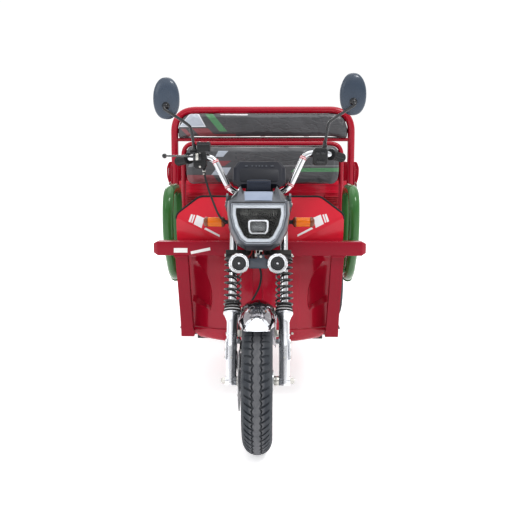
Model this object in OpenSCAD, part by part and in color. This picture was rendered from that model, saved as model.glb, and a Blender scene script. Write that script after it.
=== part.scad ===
// Electric cargo tricycle: one steered front wheel, open footwell with a
// driver's bench, and a drop-sided cargo bed over two driven rear wheels.
// Millimetres. The front faces -Y, +Z is up, Z = 0 is the ground.
// Lengths along the vehicle are given behind the front axle and shifted by
// y_mid, so that the origin lies on the ground under the middle of the box.

/* [Layout] */
// Distance between the front and the rear axle
wheelbase = 1940; // [1900:5:1980]
// Distance between the middles of the two rear tyres
track = 780; // [770:2:790]
// Angle of the steering axis from the vertical
rake = 25; // [23:0.5:26]
// Angle that the steering is turned by as it stands
steer_rest = 0; // [-2:0.2:2]

/* [Wheels] */
// Outer radius of the tyres
tyre_r = 228; // [224:1:232]
// Width of the tyres
tyre_w = 92; // [86:1:96]
// Radius of the brake disc
disc_r = 96; // [85:1:98]

/* [Fork] */
// Distance from the middle to each fork leg
leg_x = 84; // [82:1:86]
// Distance from the fork legs back to the steering axis
yoke_offset = 50; // [46:1:54]
// Outer radius of the fork springs
spring_r = 30; // [25:0.5:31]
// Radius of the bright fork tubes
stanchion_r = 13.5; // [12:0.5:14]

/* [Front panel] */
// Half width of the leg shield at its shoulders
shield_x = 307; // [290:1:315]
// Height of the top edge of the leg shield
shield_top = 797; // [780:1:810]
// Half length of the bumper bar
bumper_x = 378; // [360:1:385]
// Height of the middle of the bumper bar
bumper_z = 620; // [610:1:630]

/* [Driver] */
// Height of the footwell floor
floor_z = 306; // [306:1:312]
// Height of the top of the seat cushion
seat_top = 700; // [690:1:715]
// Height of the top of the backrest hoop
backrest_top = 1005; // [980:1:1020]

/* [Cargo bed] */
// Height of the bed floor
bed_z = 600; // [600:1:604]
// Height of the drop gates
gate_h = 300; // [260:5:320]
// Height of the top of the headboard hoop
headboard_top = 1171; // [1140:1:1190]
// Half width of the headboard hoop
headboard_x = 440; // [438:1:440]

/* [Hidden] */
$fn = 48;

// furthest points ahead of and behind the front axle
front_end = -tyre_r;
rear_end = 2647;
y_mid = (front_end + rear_end) / 2;
// heights below are drawn with the axles at axle_z, then everything is set
// down by sink so that the tyres stand on Z = 0
axle_z = 245;
sink = axle_z - tyre_r;
// hinge line of the drop gates
hinge_z = bed_z - 8;
hinge_x = 462;
hinge_l = 2638;
bed_l0 = 1340;
bed_l1 = 2612;
gate_z0 = bed_z + 3;
seat_hinge = [778, 628];

paint_red = [0.62, 0.04, 0.07];
paint_green = [0.03, 0.42, 0.14];
steel_dark = [0.08, 0.08, 0.09];
bright = [0.8, 0.8, 0.82];
silver = [0.62, 0.63, 0.65];
vinyl = [0.1, 0.1, 0.11];
rubber_c = [0.05, 0.05, 0.06];
slate = [0.16, 0.18, 0.22];
amber = [0.95, 0.45, 0.05];

// ---- helpers ----
module placed() translate([0, -y_mid, -sink]) children();
steer_axis = [0, sin(rake), cos(rake)];
steer_pt = [0, yoke_offset * cos(rake), axle_z - yoke_offset * sin(rake)];
module steered() placed() translate(steer_pt)
    rotate(a = steer_rest, v = steer_axis) translate(-steer_pt) children();
// frame along the fork legs: X across, Y back, Z up the legs from the axle
module legs() translate([0, 0, axle_z]) rotate([-rake, 0, 0]) children();
module both() { children(); mirror([1, 0, 0]) children(); }
module block(x0, x1, l0, l1, z0, z1)
    translate([x0, l0, z0]) cube([x1 - x0, l1 - l0, z1 - z0]);
module rod_x(x0, x1, l, z, r) translate([x0, l, z]) rotate([0, 90, 0])
    cylinder(r = r, h = x1 - x0);
module rod_y(x, l0, l1, z, r) translate([x, l0, z]) rotate([-90, 0, 0])
    cylinder(r = r, h = l1 - l0);
// side outline (length, height) made into a plate from x0 to x1
module side_plate(pts, x0, x1) translate([x0, 0, 0]) rotate([90, 0, 90])
    linear_extrude(x1 - x0) polygon(pts);
// front outline (across, height) made into a plate from l0 to l1
module front_plate(pts, l0, l1) translate([0, l1, 0]) rotate([90, 0, 0])
    linear_extrude(l1 - l0) polygon(pts);
module front_plate_cut(pts, holes, l0, l1) difference() {
    front_plate(pts, l0, l1);
    front_plate(holes, l0 - 1, l1 + 1);
}
function mirrored(p) = concat(p, [for (i = [len(p) - 1:-1:0]) [-p[i][0], p[i][1]]]);
function unit(v) = v / norm(v);
// rounds the corner p between a and b with k steps
function bend(a, p, b, r, k) = let (q0 = p + unit(a - p) * r, q1 = p + unit(b - p) * r)
    [for (i = [0:k]) let (t = i / k) q0 * (1 - t) * (1 - t) + p * 2 * t * (1 - t) + q1 * t * t];
function route(p, r, k = 5) = [p[0],
    for (i = [1:len(p) - 2]) each bend(p[i - 1], p[i], p[i + 1], r, k), p[len(p) - 1]];
function ring_route(p, r, k = 5) = let (n = len(p))
    [for (i = [0:n - 1]) each bend(p[(i + n - 1) % n], p[i], p[(i + 1) % n], r, k)];
function tangents(p, loop) = let (n = len(p)) [for (i = [0:n - 1])
    unit(p[loop ? (i + 1) % n : min(i + 1, n - 1)] - p[loop ? (i + n - 1) % n : max(i - 1, 0)])];
function carry(t, n0, i = 0, acc = []) = i == len(t) ? acc
    : let (n = unit(n0 - t[i] * (n0 * t[i]))) carry(t, n, i + 1, concat(acc, [n]));
// round tube swept along points
module tube(p, r, n0 = [0, 0, 1], sides = 16, loop = false) {
    t = tangents(p, loop);
    n = carry(t, n0);
    m = len(p);
    v = [for (i = [0:m - 1]) let (b = cross(t[i], n[i])) for (j = [0:sides - 1])
        p[i] + r * (cos(360 * j / sides) * n[i] + sin(360 * j / sides) * b)];
    walls = [for (i = [0:(loop ? m - 1 : m - 2)]) for (j = [0:sides - 1])
        let (a = i * sides, c = ((i + 1) % m) * sides, k = (j + 1) % sides)
        [a + j, c + j, c + k, a + k]];
    ends = loop ? [] : [[for (j = [0:sides - 1]) j],
        [for (j = [sides - 1:-1:0]) (m - 1) * sides + j]];
    polyhedron(points = v, faces = concat(walls, ends), convexity = 6);
}

// ---- chassis ----
rail_in = 195;
rail_out = 235;
// side outline of a frame rail, low under the footwell and high under the bed
rail_side = [[470, 262], [1180, 262], [1260, 500], [2590, 500], [2590, 560],
    [1215, 560], [1140, 302], [470, 302]];
// cross members: place along the vehicle, lower and upper height
cross_members = [[470, 262, 302], [780, 262, 302], [1090, 262, 302],
    [1300, 505, 555], [1720, 505, 555], [2140, 505, 555], [2550, 505, 555]];
spring_half = 380;
spring_arc = 620;
spring_eye_z = 285 + 644 - sqrt(spring_arc * spring_arc - spring_half * spring_half);
// side outline of the neck that carries the head tube
neck_side = [[264, 656], [450, 640], [470, 302], [530, 302], [505, 730], [351, 719], [304, 741]];
outriggers = [500, 790];

module main_frame() color(steel_dark) placed() {
    difference() {
        union() {
            both() side_plate(rail_side, rail_in, rail_out);
            for (c = cross_members) block(-rail_in - 1, rail_in + 1, c[0], c[0] + 40, c[1], c[2]);
            side_plate(neck_side, -28, 28);
            legs() translate([0, yoke_offset, 445]) cylinder(r = 27, h = 135);
            both() for (l = outriggers) block(rail_out - 1, 296, l, l + 30, 270, 302);
            // spring hangers under the rails
            both() for (s = [-1, 1])
                block(rail_in, rail_out, wheelbase + s * spring_half - 16,
                    wheelbase + s * spring_half + 16, spring_eye_z + 10, 501);
        }
        legs() translate([0, yoke_offset, 400]) cylinder(r = 16.05, h = 240);
    }
}

// leg shield rows from the top: each column is across, height, behind the axle
shield_rows = [
    [[222, shield_top, 462], [148, shield_top, 462], [20, shield_top, 462]],
    [[shield_x, 735, 448], [148, 642, 418], [20, 642, 414]],
    [[304, 600, 452], [148, 600, 416], [20, 600, 411]],
    [[256, 575, 452], [146, 575, 412], [20, 575, 406]],
    [[250, 440, 448], [142, 440, 402], [20, 440, 394]],
    [[248, 322, 450], [140, 322, 404], [20, 322, 396]],
    [[232, 268, 456], [132, 268, 416], [20, 268, 408]]];
shield_t = 4;
module leg_shield() color(paint_red) placed() difference() {
    rows = [for (r = shield_rows) [for (c = r) [-c[0], c[2], c[1]], for (i = [2:-1:0]) [r[i][0], r[i][2], r[i][1]]]];
    nr = len(rows);
    nc = 6;
    front = [for (r = rows) each r];
    back = [for (q = front) q + [0, shield_t, 0]];
    m = nr * nc;
    skins = [for (i = [0:nr - 2]) for (j = [0:nc - 2]) let (a = i * nc + j)
        each (j == 0 ? [[a, a + 1, a + nc], [a + 1, a + nc + 1, a + nc]]
            : j == 4 ? [[a, a + 1, a + nc + 1], [a, a + nc + 1, a + nc]]
            : [[a, a + 1, a + nc + 1, a + nc]])];
    backs = [for (f = skins) [for (k = [len(f) - 1:-1:0]) f[k] + m]];
    rim = concat([for (j = [0:nc - 2]) j],
        [for (i = [0:nr - 2]) i * nc + nc - 1],
        [for (j = [nc - 1:-1:1]) (nr - 1) * nc + j],
        [for (i = [nr - 1:-1:1]) i * nc]);
    edges = [for (i = [0:len(rim) - 1]) let (a = rim[i], b = rim[(i + 1) % len(rim)]) [b, a, a + m, b + m]];
    polyhedron(points = concat(front, back), faces = concat(skins, backs, edges), convexity = 6);
    block(-34, 34, 380, 520, 634, 768);
}

// struts: foot and head of one side, each across, behind the axle, height
strut_foot = [263, 405, 302];
strut_head = [279, 372, 597];
module front_bumper() color(paint_red) placed() {
    // square bar with chamfered ends
    block(-bumper_x + 15, bumper_x - 15, 340, 390, bumper_z - 25, bumper_z + 25);
    both() hull() {
        block(bumper_x - 16, bumper_x - 15, 340, 390, bumper_z - 25, bumper_z + 25);
        block(bumper_x - 1, bumper_x, 355, 390, bumper_z - 17, bumper_z + 17);
    }
    both() hull() {
        translate(strut_foot + [-23, -20, 0]) cube([46, 40, 2]);
        translate(strut_head + [-23, -20, 0]) cube([46, 40, 2]);
    }
    // feet that reach the front outriggers, and tabs that hold the shield
    both() block(252, 286, 385, 500, 288, 302);
    both() block(190, 216, 389, 425.5, 603, 637);
}

module footwell_floor() color(steel_dark) placed() {
    difference() {
        block(-300, 300, 461, 799.9, floor_z - 3.9, floor_z);
        block(-30, 30, 450, 534, floor_z - 5, floor_z + 1);
    }
    for (x = [-286:80:274]) block(x, x + 12, 540, 780, floor_z - 0.5, floor_z + 4);
}

module seat_box() color(paint_red) placed() difference() {
    union() {
        block(-300, 300, 800, 1130, 302.1, 620);
        both() block(299, 372, 1118, 1192, 556, 566);
        block(-300, 300, 1118, 1192, 556, 566);
        seat_hinges();
    }
    block(-297, 297, 803, 1127, 305.1, 621);
}

module battery_pack() color(steel_dark) placed() block(-190, 190, 830, 1100, 305.2, 520);

hoop_x = 362;
hoop_l = 1180;
module backrest_frame() color(paint_red) placed() {
    z0 = 566.1;
    z1 = backrest_top - 10;
    tube(route([[-hoop_x, hoop_l, z0], [-hoop_x, hoop_l, z1], [hoop_x, hoop_l, z1],
        [hoop_x, hoop_l, z0]], 55, 6), 10, [0, 1, 0]);
    for (z = [840, 935]) block(-hoop_x, hoop_x, 1186, 1192, z, z + 30);
}
// rounded slab facing forward: half width, lower and upper height, corner
module slab(x, z0, z1, l0, l1, r) hull() for (s = [-1, 1]) for (z = [z0 + r, z1 - r])
    rod_y(s * (x - r), l0, l1, z, r, $fn = 32);
module backrest_cushion() color(vinyl) placed() slab(350, 812, 984, 1140, 1185.9, 45);

// side guards: corners of one loop, behind the axle and height
guard_x = 372;
guard_r = 22;
guard_loop = [[690, 606], [870, 425], [1000, 425], [1000, 803], [705, 803]];
module guard_loops() color(paint_green) placed() both() {
    tube(ring_route([for (c = guard_loop) [guard_x, c[0], c[1]]], 90, 6), guard_r, [1, 0, 0],
        sides = 14, loop = true);
    rod_x(300, guard_x - 6, 830, 464, 9);
    rod_x(300, guard_x - 6, 1000, 600, 9);
}

// ---- cargo bed ----
sills = [1380, 1700, 2000, 2300, 2572];
hinge_l_rows = [1470, 1990, 2510];
tail_hinges = [-300, 0, 300];
pin_r = 5;
module bed_floor() color(paint_red) placed() {
    block(-436, 436, bed_l0 + 33, bed_l1, bed_z - 8, bed_z);
    both() block(400, 436, bed_l0, bed_l1, 560, bed_z - 7);
    block(-401, 401, bed_l0, bed_l0 + 36, 560, bed_z - 3);
    for (l = sills) block(-401, 401, l, l + 40, 560, bed_z - 7);
    for (x = [-360:120:360]) block(x - 8, x + 8, bed_l0 + 40, bed_l1 - 6, bed_z - 1, bed_z + 4);
    // rear corner posts with a flange that the gates close against
    both() {
        block(414, 436, 2590, bed_l1, 575, bed_z + gate_h + 4);
        block(430, 456, bed_l1 - 1, bed_l1 + 4, 780, 880);
    }
    // hinge lugs and pins of the side gates
    both() for (l = hinge_l_rows) {
        for (s = [-30, 20]) {
            block(435, hinge_x, l + s, l + s + 10, hinge_z - 9, hinge_z + 6);
            rod_y(hinge_x, l + s, l + s + 10, hinge_z, 9);
        }
        rod_y(hinge_x, l - 31, l + 31, hinge_z, pin_r);
    }
    for (x = tail_hinges) {
        for (s = [-30, 20]) {
            block(x + s, x + s + 10, bed_l1 - 1, hinge_l, hinge_z - 9, hinge_z + 6);
            rod_x(x + s, x + s + 10, hinge_l, hinge_z, 9);
        }
        rod_x(x - 31, x + 31, hinge_l, hinge_z, pin_r);
    }
}

wall_grooves = [640, 680, 720, 760];
module bed_front_wall() color(paint_red) placed() {
    block(-405, 405, 1346, 1352, bed_z - 3, 812);
    block(-405, 405, 1340, 1358, 800, 818);
    for (z = wall_grooves) block(-398, 398, 1341, 1347, z, z + 14);
    both() block(298, 368, 1340, 1347, 695, 748);
}

head_l = 1352;
head_r = 17;
module headboard_frame() color(paint_red) placed() {
    x = headboard_x - head_r;
    z1 = headboard_top - head_r;
    tube(route([[-x, head_l, bed_z - 6.9], [-x, head_l, z1], [x, head_l, z1], [x, head_l, bed_z - 6.9]], 105, 7),
        head_r, [0, 1, 0], sides = 20);
    rod_x(-x, x, head_l, 1015, 8);
    for (z = [1045, 1100]) block(-x, x, head_l + 12, head_l + 17, z, z + 24);
    // latch hooks beside the posts
    both() {
        block(436, 446, 1338, 1366, 770, 890);
        block(446, 460, 1338, 1346, 762, 800);
        block(446, 460, 1338, 1346, 860, 898);
    }
}
pad_x = 403;
pad_z = [1023.4, 1136.8];
module headboard_pad() color(vinyl) placed() front_plate(mirrored(concat([[0, pad_z[1]]],
    bend([0, pad_z[1]], [pad_x, pad_z[1]], [pad_x, pad_z[0]], 95, 8),
    bend([pad_x, pad_z[1]], [pad_x, pad_z[0]], [0, pad_z[0]], 12, 3), [[0, pad_z[0]]])), 1322, 1363.8);

// Drop gate lying along X from x0 to x1, outer face towards -Y, hinge line at
// the origin; the panel stands d0..d1 inside the hinge line.
module gate(x0, x1, rows, d0, d1, h) difference() {
    union() {
        block(x0, x1, d0 + 5, d1, 11, 11 + h);
        // pressed frame and ribs on the outer face
        for (z = [11, 11 + h * 0.45, 11 + h - 26]) block(x0, x1, d0, d0 + 6, z, z + 26);
        for (x = [x0, x1 - 26]) block(x, x + 26, d0, d0 + 6, 11, 11 + h);
        for (x = rows) block(x - 13, x + 13, d0, d0 + 6, 11, 11 + h);
        for (x = rows) {
            rod_x(x - 17, x + 17, 0, 0, 9);
            block(x - 17, x + 17, 0, d0 + 8, 1, 9);
            block(x - 17, x + 17, d0, d0 + 8, 1, 13);
        }
    }
    for (x = rows) rod_x(x - 18, x + 18, 0, 0, pin_r + 0.05);
}
module side_gate() translate([hinge_x, 0, hinge_z]) rotate([0, 0, 90])
    gate(1374, 2608, hinge_l_rows, 4, 24, gate_h);
module left_gate() color(paint_red) placed() mirror([1, 0, 0]) side_gate();
module right_gate() color(paint_red) placed() side_gate();
module tailgate() color(paint_red) placed() translate([0, hinge_l, hinge_z])
    mirror([0, 1, 0]) gate(-424, 424, tail_hinges, 4, 24, gate_h);

// ---- rear axle ----
// leaves from the top: half length, and the depth of the leaf below the first
leaves = [[spring_half, 0], [300, 7], [220, 14], [140, 21]];
module leaf_springs() color(steel_dark) placed() both() {
    zc = 285 + 644;
    for (s = leaves) {
        ri = spring_arc - 4 + s[1];
        a = asin(s[0] / (ri + 3));
        side_plate(concat(
            [for (i = [0:12]) let (t = -a + 2 * a * i / 12) [wheelbase + (ri - 0.9) * sin(t), zc - (ri - 0.9) * cos(t)]],
            [for (i = [12:-1:0]) let (t = -a + 2 * a * i / 12)
                [wheelbase + (ri + 7) * sin(t), zc - (ri + 7) * cos(t)]]), 192, 238);
    }
    // eyes, and the clamp over the axle pad
    for (s = [-1, 1]) rod_x(192, 238, wheelbase + s * spring_half, spring_eye_z - 2, 12);
    block(192, 238, wheelbase - 35, wheelbase + 35, 308, 326);
}
module rear_axle() color(steel_dark) placed() {
    rod_x(-326, 326, wheelbase, axle_z, 30);
    rod_x(-60, 60, wheelbase, axle_z, 95);
    rod_y(0, wheelbase - 105, wheelbase - 40, axle_z, 52);
    both() {
        block(190, 240, wheelbase - 45, wheelbase + 45, axle_z - 10, 284.8);
        rod_x(318, 325, wheelbase, axle_z, 100);
        rod_x(325, 440, wheelbase, axle_z, 17);
        rod_x(track / 2 + 37, track / 2 + 50, wheelbase, axle_z, 24, $fn = 6);
    }
}
module drive_motor() color(steel_dark) placed() rod_y(0, 1660, wheelbase - 105.1, axle_z, 78);

module rear_bumper() color(paint_red) placed() difference() {
    union() {
        block(-400, 400, 2588, 2628, 400, 440);
        both() block(rail_in, rail_out, 2560, 2589, 400, 500);
        block(-100, 100, 2628, 2630, 410, 530);
    }
    for (x = [-75, 75]) rod_y(x, 2600, 2640, 510, 3.3);
}
module tail_lights() color([0.7, 0.05, 0.05]) placed() both() block(270, 396, 2575, 2610, 500, 559.9);
module brake_pedal() color(steel_dark) placed() {
    side_plate([[560, floor_z + 4.1], [584, floor_z + 4.1], [560, 372], [546, 366]], -186, -172);
    side_plate([[524, 342], [532, 338], [566, 396], [558, 400]], -212, -146);
}

// ---- driver's seat lid ----
module seat_base() color(steel_dark) placed() difference() {
    union() {
        block(-296, 296, 786, 1148, 624, 639.9);
        for (x = [-220, 220]) {
            rod_x(x - 30, x + 30, seat_hinge[0], seat_hinge[1], 8);
            block(x - 30, x + 30, seat_hinge[0], 790, seat_hinge[1] - 3, seat_hinge[1] + 8);
        }
    }
    for (x = [-220, 220]) rod_x(x - 31, x + 31, seat_hinge[0], seat_hinge[1], 4.05);
}
module seat_cushion() color(vinyl) placed() hull() for (s = [-1, 1]) for (l = [800, 1122])
    translate([s * 276, l, 640]) cylinder(r = 26, h = seat_top - 640, $fn = 32);
// pins that carry the lid, on the box side
module seat_hinges() for (x = [-220, 220]) {
    for (s = [-42, 32]) {
        block(x + s, x + s + 10, seat_hinge[0] - 6, 801, seat_hinge[1] - 22, seat_hinge[1] - 5);
        rod_x(x + s, x + s + 10, seat_hinge[0], seat_hinge[1], 6.5);
    }
    rod_x(x - 43, x + 43, seat_hinge[0], seat_hinge[1], 4);
}

// ---- steered front end ----
bar_v = 31;
bar_w = 643;
module steering_yokes() color(steel_dark) steered() legs() difference() {
    union() {
        for (y = [[408, 18], [586, 26]]) translate([-108, -24, y[0]]) cube([216, 100, y[1]]);
        translate([0, yoke_offset, 409]) cylinder(r = 16, h = 202);
        for (s = [-1, 1]) translate([s * 36 - 11, bar_v - 18, 611]) cube([22, 36, bar_w - 611 + 20]);
        translate([-28, -22, 611]) cube([56, 30, 52.9]);
    }
    both() translate([leg_x, 0, 400]) cylinder(r = stanchion_r + 0.05, h = 220);
    translate([-70, bar_v, bar_w]) rotate([0, 90, 0]) cylinder(r = 11.4, h = 140);
}
module fork_stanchions() color(bright) steered() legs() both()
    translate([leg_x, 0, 126]) cylinder(r = stanchion_r, h = 488);
module fork_lower_legs() color(silver) steered() legs() difference() {
    union() {
        both() {
            translate([leg_x, 0, -14]) cylinder(r = 17.5, h = 220);
            translate([leg_x, 0, 192]) cylinder(r1 = 17.5, r2 = 24, h = 20.1);
            translate([leg_x, 0, 212]) cylinder(r = 29.8, h = 10);
            translate([66.5, 0, 0]) rotate([0, 90, 0]) cylinder(r = 15.5, h = 36);
            translate([leg_x + 8, -13, 63]) cube([14.5, 26, 70]);
        }
        translate([-94, 0, 50]) cube([27.5, 42, 36]);
    }
    both() translate([leg_x, 0, 125]) cylinder(r = stanchion_r + 0.05, h = 110);
    translate([-120, 0, 0]) rotate([0, 90, 0]) cylinder(r = 10.05, h = 240);
}
module fork_springs() color(steel_dark) steered() legs() both() translate([leg_x, 0, 222.3])
    difference() {
        cylinder(r = spring_r, h = 185.4);
        translate([0, 0, -1]) cylinder(r = stanchion_r + 0.5, h = 190);
    }
module front_axle() color(silver) steered() translate([0, 0, axle_z]) {
    translate([-102.6, 0, 0]) rotate([0, 90, 0]) cylinder(r = 10, h = 205.2);
    translate([-116, 0, 0]) rotate([0, 90, 0]) cylinder(r = 6.5, h = 232);
    both() translate([102.6, 0, 0]) rotate([0, 90, 0]) cylinder(r = 10.5, h = 10, $fn = 6);
    translate([51, 0, 0]) rotate([0, 90, 0]) cylinder(r = 15, h = 15.4);
    translate([-66.4, 0, 0]) rotate([0, 90, 0]) cylinder(r = 13, h = 5.4);
}
module brake_caliper() color(steel_dark) steered() legs() difference() {
    hull() for (v = [18, 66]) for (w = [46, 92]) translate([-66.4, v, w])
        rotate([0, 90, 0]) cylinder(r = 8, h = 19, $fn = 24);
    translate([-63.2, 0, 0]) rotate([0, 90, 0]) cylinder(r = 104, h = 9.4);
}
// hose from the lever down past the lower yoke to the caliper
hose = [[-190, 300, 901.4], [-184, 292, 866], [-160, 262, 800], [-124, 203, 738], [-70, 200, 712],
    [-44, 184, 690], [-16, 150, 653], [-16, 142, 616], [6, 150, 575], [4, 178, 520], [-26, 232, 452],
    [-64, 246, 404], [-66, 160, 345], [-57, 90, 348], [-57, 78.6, 319.2]];
module brake_hose() color(rubber_c) steered() tube(route(hose, 9, 2), 3.5, [1, 0, 0], sides = 8);

// half section of the mudguard: across, radius from the axle
guard_section = [[0, 253], [22, 252], [42, 246], [54, 236], [57, 222], [59.5, 222],
    [56.5, 237.5], [43.5, 248.6], [22.5, 254.7], [0, 255.8]];
module front_mudguard() color(bright) steered() {
    difference() {
        translate([0, 0, axle_z]) rotate([0, 90, 0]) rotate([0, 0, 105]) rotate_extrude(angle = 115, $fn = 96)
            union() {
                polygon([for (p = guard_section) [p[1], p[0]]]);
                polygon([for (p = guard_section) [p[1], -p[0]]]);
            }
        // room for the fork legs and springs
        legs() both() translate([55.2, -34, 150]) cube([10, 68, 110]);
        legs() both() translate([53.6, -34, 210]) cube([10, 68, 50]);
        // level front edge
        block(-70, 70, -300, -60, 300, 446);
    }
    legs() both() {
        translate([52.2, -12, 138]) cube([3, 24, 72]);
        translate([52.2, -12, 208]) cube([1.4, 24, 31]);
        translate([54, -10, 140]) cube([12.4, 20, 22]);
    }
}

// front outline of the headlight shroud: across, height
shroud_half = [[0, 832], [50, 832], [58, 851], [64, 852], [90, 824], [106, 795], [106, 786], [100, 748],
    [96, 708], [89.5, 683], [72, 661], [38, 640], [0, 640]];
lens_half = [[0, 797], [86, 797], [88, 761], [78.5, 721], [58, 682], [39, 668], [0, 668]];
function grow(p, d) = [for (q = p) [q[0] > 0 ? q[0] + d : 0, q[1] + (q[1] > 730 ? d : -d)]];
shroud_l = [100, 192];
module headlight_shroud() color(slate) steered() {
    difference() {
        front_plate(mirrored(shroud_half), shroud_l[0], shroud_l[1]);
        front_plate(mirrored([[0, 827], [53, 827], [61, 846], [63, 846.5], [86, 821.5], [101, 794], [101, 787],
            [95, 748], [91, 709], [85, 685], [69, 665], [36.5, 645], [0, 645]]), shroud_l[0] + 4, shroud_l[1] + 1);
        front_plate(mirrored(grow(lens_half, 0.3)), shroud_l[0] - 1, shroud_l[1]);
        block(-50, 50, 132, shroud_l[1] + 1, 639, 656);
        block(-112, 112, 146, shroud_l[1] + 1, 639, 660);
        block(-112, 112, 170, shroud_l[1] + 1, 639, 694);
    }
    // cheeks that reach back to the bright tubes
    both() block(97.6, 101.6, 150, 245, 746, 772);
}
module headlight_unit() color(bright) steered() difference() {
    front_plate(mirrored(grow(lens_half, 6)), shroud_l[0] + 4.1, 150);
    front_plate(mirrored(grow(lens_half, -6)), shroud_l[0] + 4, 142);
}
module headlight_lens() color([0.85, 0.9, 0.95, 0.5]) steered()
    front_plate(mirrored(lens_half), shroud_l[0] - 2, shroud_l[0] + 2);
module indicators() color(amber) steered() both() {
    rod_x(97.6, 127, 226, 726, 7);
    rod_x(116, 170, 226, 726, 17.5);
    translate([170, 226, 726]) sphere(r = 17.5);
}
module horns() color(bright) steered() {
    both() translate([62, 118, 605]) rotate([90, 0, 0]) {
        cylinder(r = 34, h = 26);
        cylinder(r = 18, h = 33);
    }
    block(-31, 31, 106, 112, 584, 620);
    block(-4, 20, 106, 112, 612, 632);
    legs() translate([-1, -66, 386]) cube([18, 66, 10]);
    legs() translate([-1, -20, 390]) cube([18, 20, 17.9]);
}
module instrument() color(slate) steered() {
    legs() translate([0, 22, 0]) difference() {
        front_plate(mirrored([[0, 744], [72, 744], [90, 720], [90, 668], [67, 651], [0, 651]]), -52, 0);
        translate([-95, -45.5, 640]) cube([190, 50, 24]);
    }
    // block that it is clamped on, above the headlight
    block(-39, 39, 178, 249, 833.5, 867);
    legs() translate([-30, -60, 652]) cube([60, 35.5, 9]);
}
// the bent bar stands a little higher on one side
bar_skew = 6.5;
function bar_side(q, s) = [s * q[0], q[1], q[2] + s * bar_skew * max(0, min(1, (q[0] - 64) / 92))];
module skewed(s) translate([0, 0, s * bar_skew]) children();
bar_half = [[0, 0, 0], [64, 0, 0], [102, -4, 18], [156, 3, 130], [204, 12, 136], [238, 34, 131], [292, 132, 118]];
module handlebar() color(bright) steered() {
    c = [0, bar_v * cos(rake) + bar_w * sin(rake), axle_z - bar_v * sin(rake) + bar_w * cos(rake)];
    tube(route(concat([for (i = [6:-1:1]) c + bar_side(bar_half[i], -1)],
        [for (i = [1:6]) c + bar_side(bar_half[i], 1)]), 16, 3),
        11, [0, 0, 1], sides = 14);
}

// cylinder from point a to point b
module strut(a, b, r) { d = b - a; translate(a) rotate([0, acos(d[2] / norm(d)), atan2(d[1], d[0])])
    cylinder(r = r, h = norm(d)); }
bar_c = [0, bar_v * cos(rake) + bar_w * sin(rake), axle_z - bar_v * sin(rake) + bar_w * cos(rake)];
grip_a = bar_half[5];
grip_d = unit(bar_half[6] - bar_half[5]);
module grips() color(rubber_c) steered() for (s = [-1, 1]) skewed(s) mirror([s < 0 ? 1 : 0, 0, 0]) translate(bar_c) difference() {
    strut(grip_a + grip_d * 18, bar_half[6] + grip_d * 5, 16.5);
    strut(grip_a + grip_d * 10, bar_half[6] + grip_d * 0.2, 11.2);
}
// the bar itself, a little fatter, to bore what is clamped on it
// (s is the side that it is on)
module bar_bore(s) tube(route([for (i = [2:6]) bar_c + bar_side(bar_half[i], s) + [bar_half[i][0] * (1 - s), 0, -s * bar_skew]], 16, 3),
    11.3, [0, 0, 1], sides = 14);
module brake_lever() color(steel_dark) steered() skewed(-1) mirror([1, 0, 0]) {
    difference() {
        block(180, 228, 288, 326, 908, 968);
        bar_bore(-1);
    }
    // fluid box on top
    block(168, 214, 290, 328, 968, 1000);
    // lever with a ball end
    p = [[212, 284, 948], [252, 298, 956], [337, 366, 952]];
    for (i = [0, 1]) hull() for (k = [0, 1]) translate(p[i + k]) sphere(r = 5.5, $fn = 16);
    translate(p[2]) sphere(r = 9);
    block(196, 222, 278, 290, 936, 962);
}
module switch_pod() color(steel_dark) steered() skewed(1) difference() {
    block(182, 234, 286, 330, 906, 968);
    bar_bore(1);
}
mirror_x = 317;
module mirrors() color(slate) steered() for (s = [-1, 1]) skewed(s) mirror([s < 0 ? 1 : 0, 0, 0]) {
    tube(route([[224, 310, 968.1], [234, 302, 1042], [318, 268, 1108], [mirror_x, 290, 1116]], 12, 3),
        5, [1, 0, 0], sides = 10);
    hull() {
        rod_y(mirror_x, 286, 290, 1124, 34, $fn = 32);
        rod_y(mirror_x, 286, 290, 1180, 24, $fn = 32);
        rod_y(mirror_x, 298, 312, 1121, 45, $fn = 32);
        rod_y(mirror_x, 298, 312, 1183, 34, $fn = 32);
    }
}

// ---- wheels ----
module tyre() rotate([0, 90, 0]) rotate_extrude($fn = 96) difference() {
    union() {
        translate([tyre_r - tyre_w / 2, 0]) circle(r = tyre_w / 2);
        polygon([[152, -36], [168, -36], [178, -tyre_w / 2 + 2], [178, tyre_w / 2 - 2], [168, 36], [152, 36]]);
    }
    translate([0, -60]) square([152, 120]);
    // seat for the flanges of the rim
    for (s = [-1, 1]) translate([145, s * 46 - 10]) square([19.4, 20]);
}
// rim band with a pressed disc, a row of holes and a hub from x0 to x1
module rim(x0, x1, hub_r, bore_r, drum) rotate([0, 90, 0]) difference() {
    union() {
        rotate_extrude($fn = 96) polygon([[152, -36], [164, -36], [164, -39], [147, -39], [140, -30],
            [136, -12], [136, 12], [140, 30], [147, 39], [164, 39], [164, 36], [152, 36]]);
        translate([0, 0, -4]) cylinder(r = 138, h = 8);
        translate([0, 0, x0]) cylinder(r = hub_r, h = x1 - x0);
        if (drum > 0) translate([0, 0, x0]) cylinder(r = drum, h = 30);
    }
    for (a = [0:60:300]) rotate([0, 0, a]) translate([103, 0, -6]) cylinder(r = 19, h = 12);
    translate([0, 0, x0 - 1]) cylinder(r = bore_r, h = x1 - x0 + 2);
}
module front_tyre() color(rubber_c) steered() translate([0, 0, axle_z]) tyre();
module front_rim() color(silver) steered() translate([0, 0, axle_z]) rim(-56.4, 50, 34, 10.05, 0);
module brake_disc() color(bright) steered() translate([-60, 0, axle_z]) rotate([0, 90, 0]) difference() {
    cylinder(r = disc_r, h = 3.5);
    translate([0, 0, -1]) cylinder(r = 14, h = 6);
    for (a = [0:30:330]) rotate([0, 0, a]) translate([74, 0, -1]) cylinder(r = 8, h = 6);
}
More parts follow.
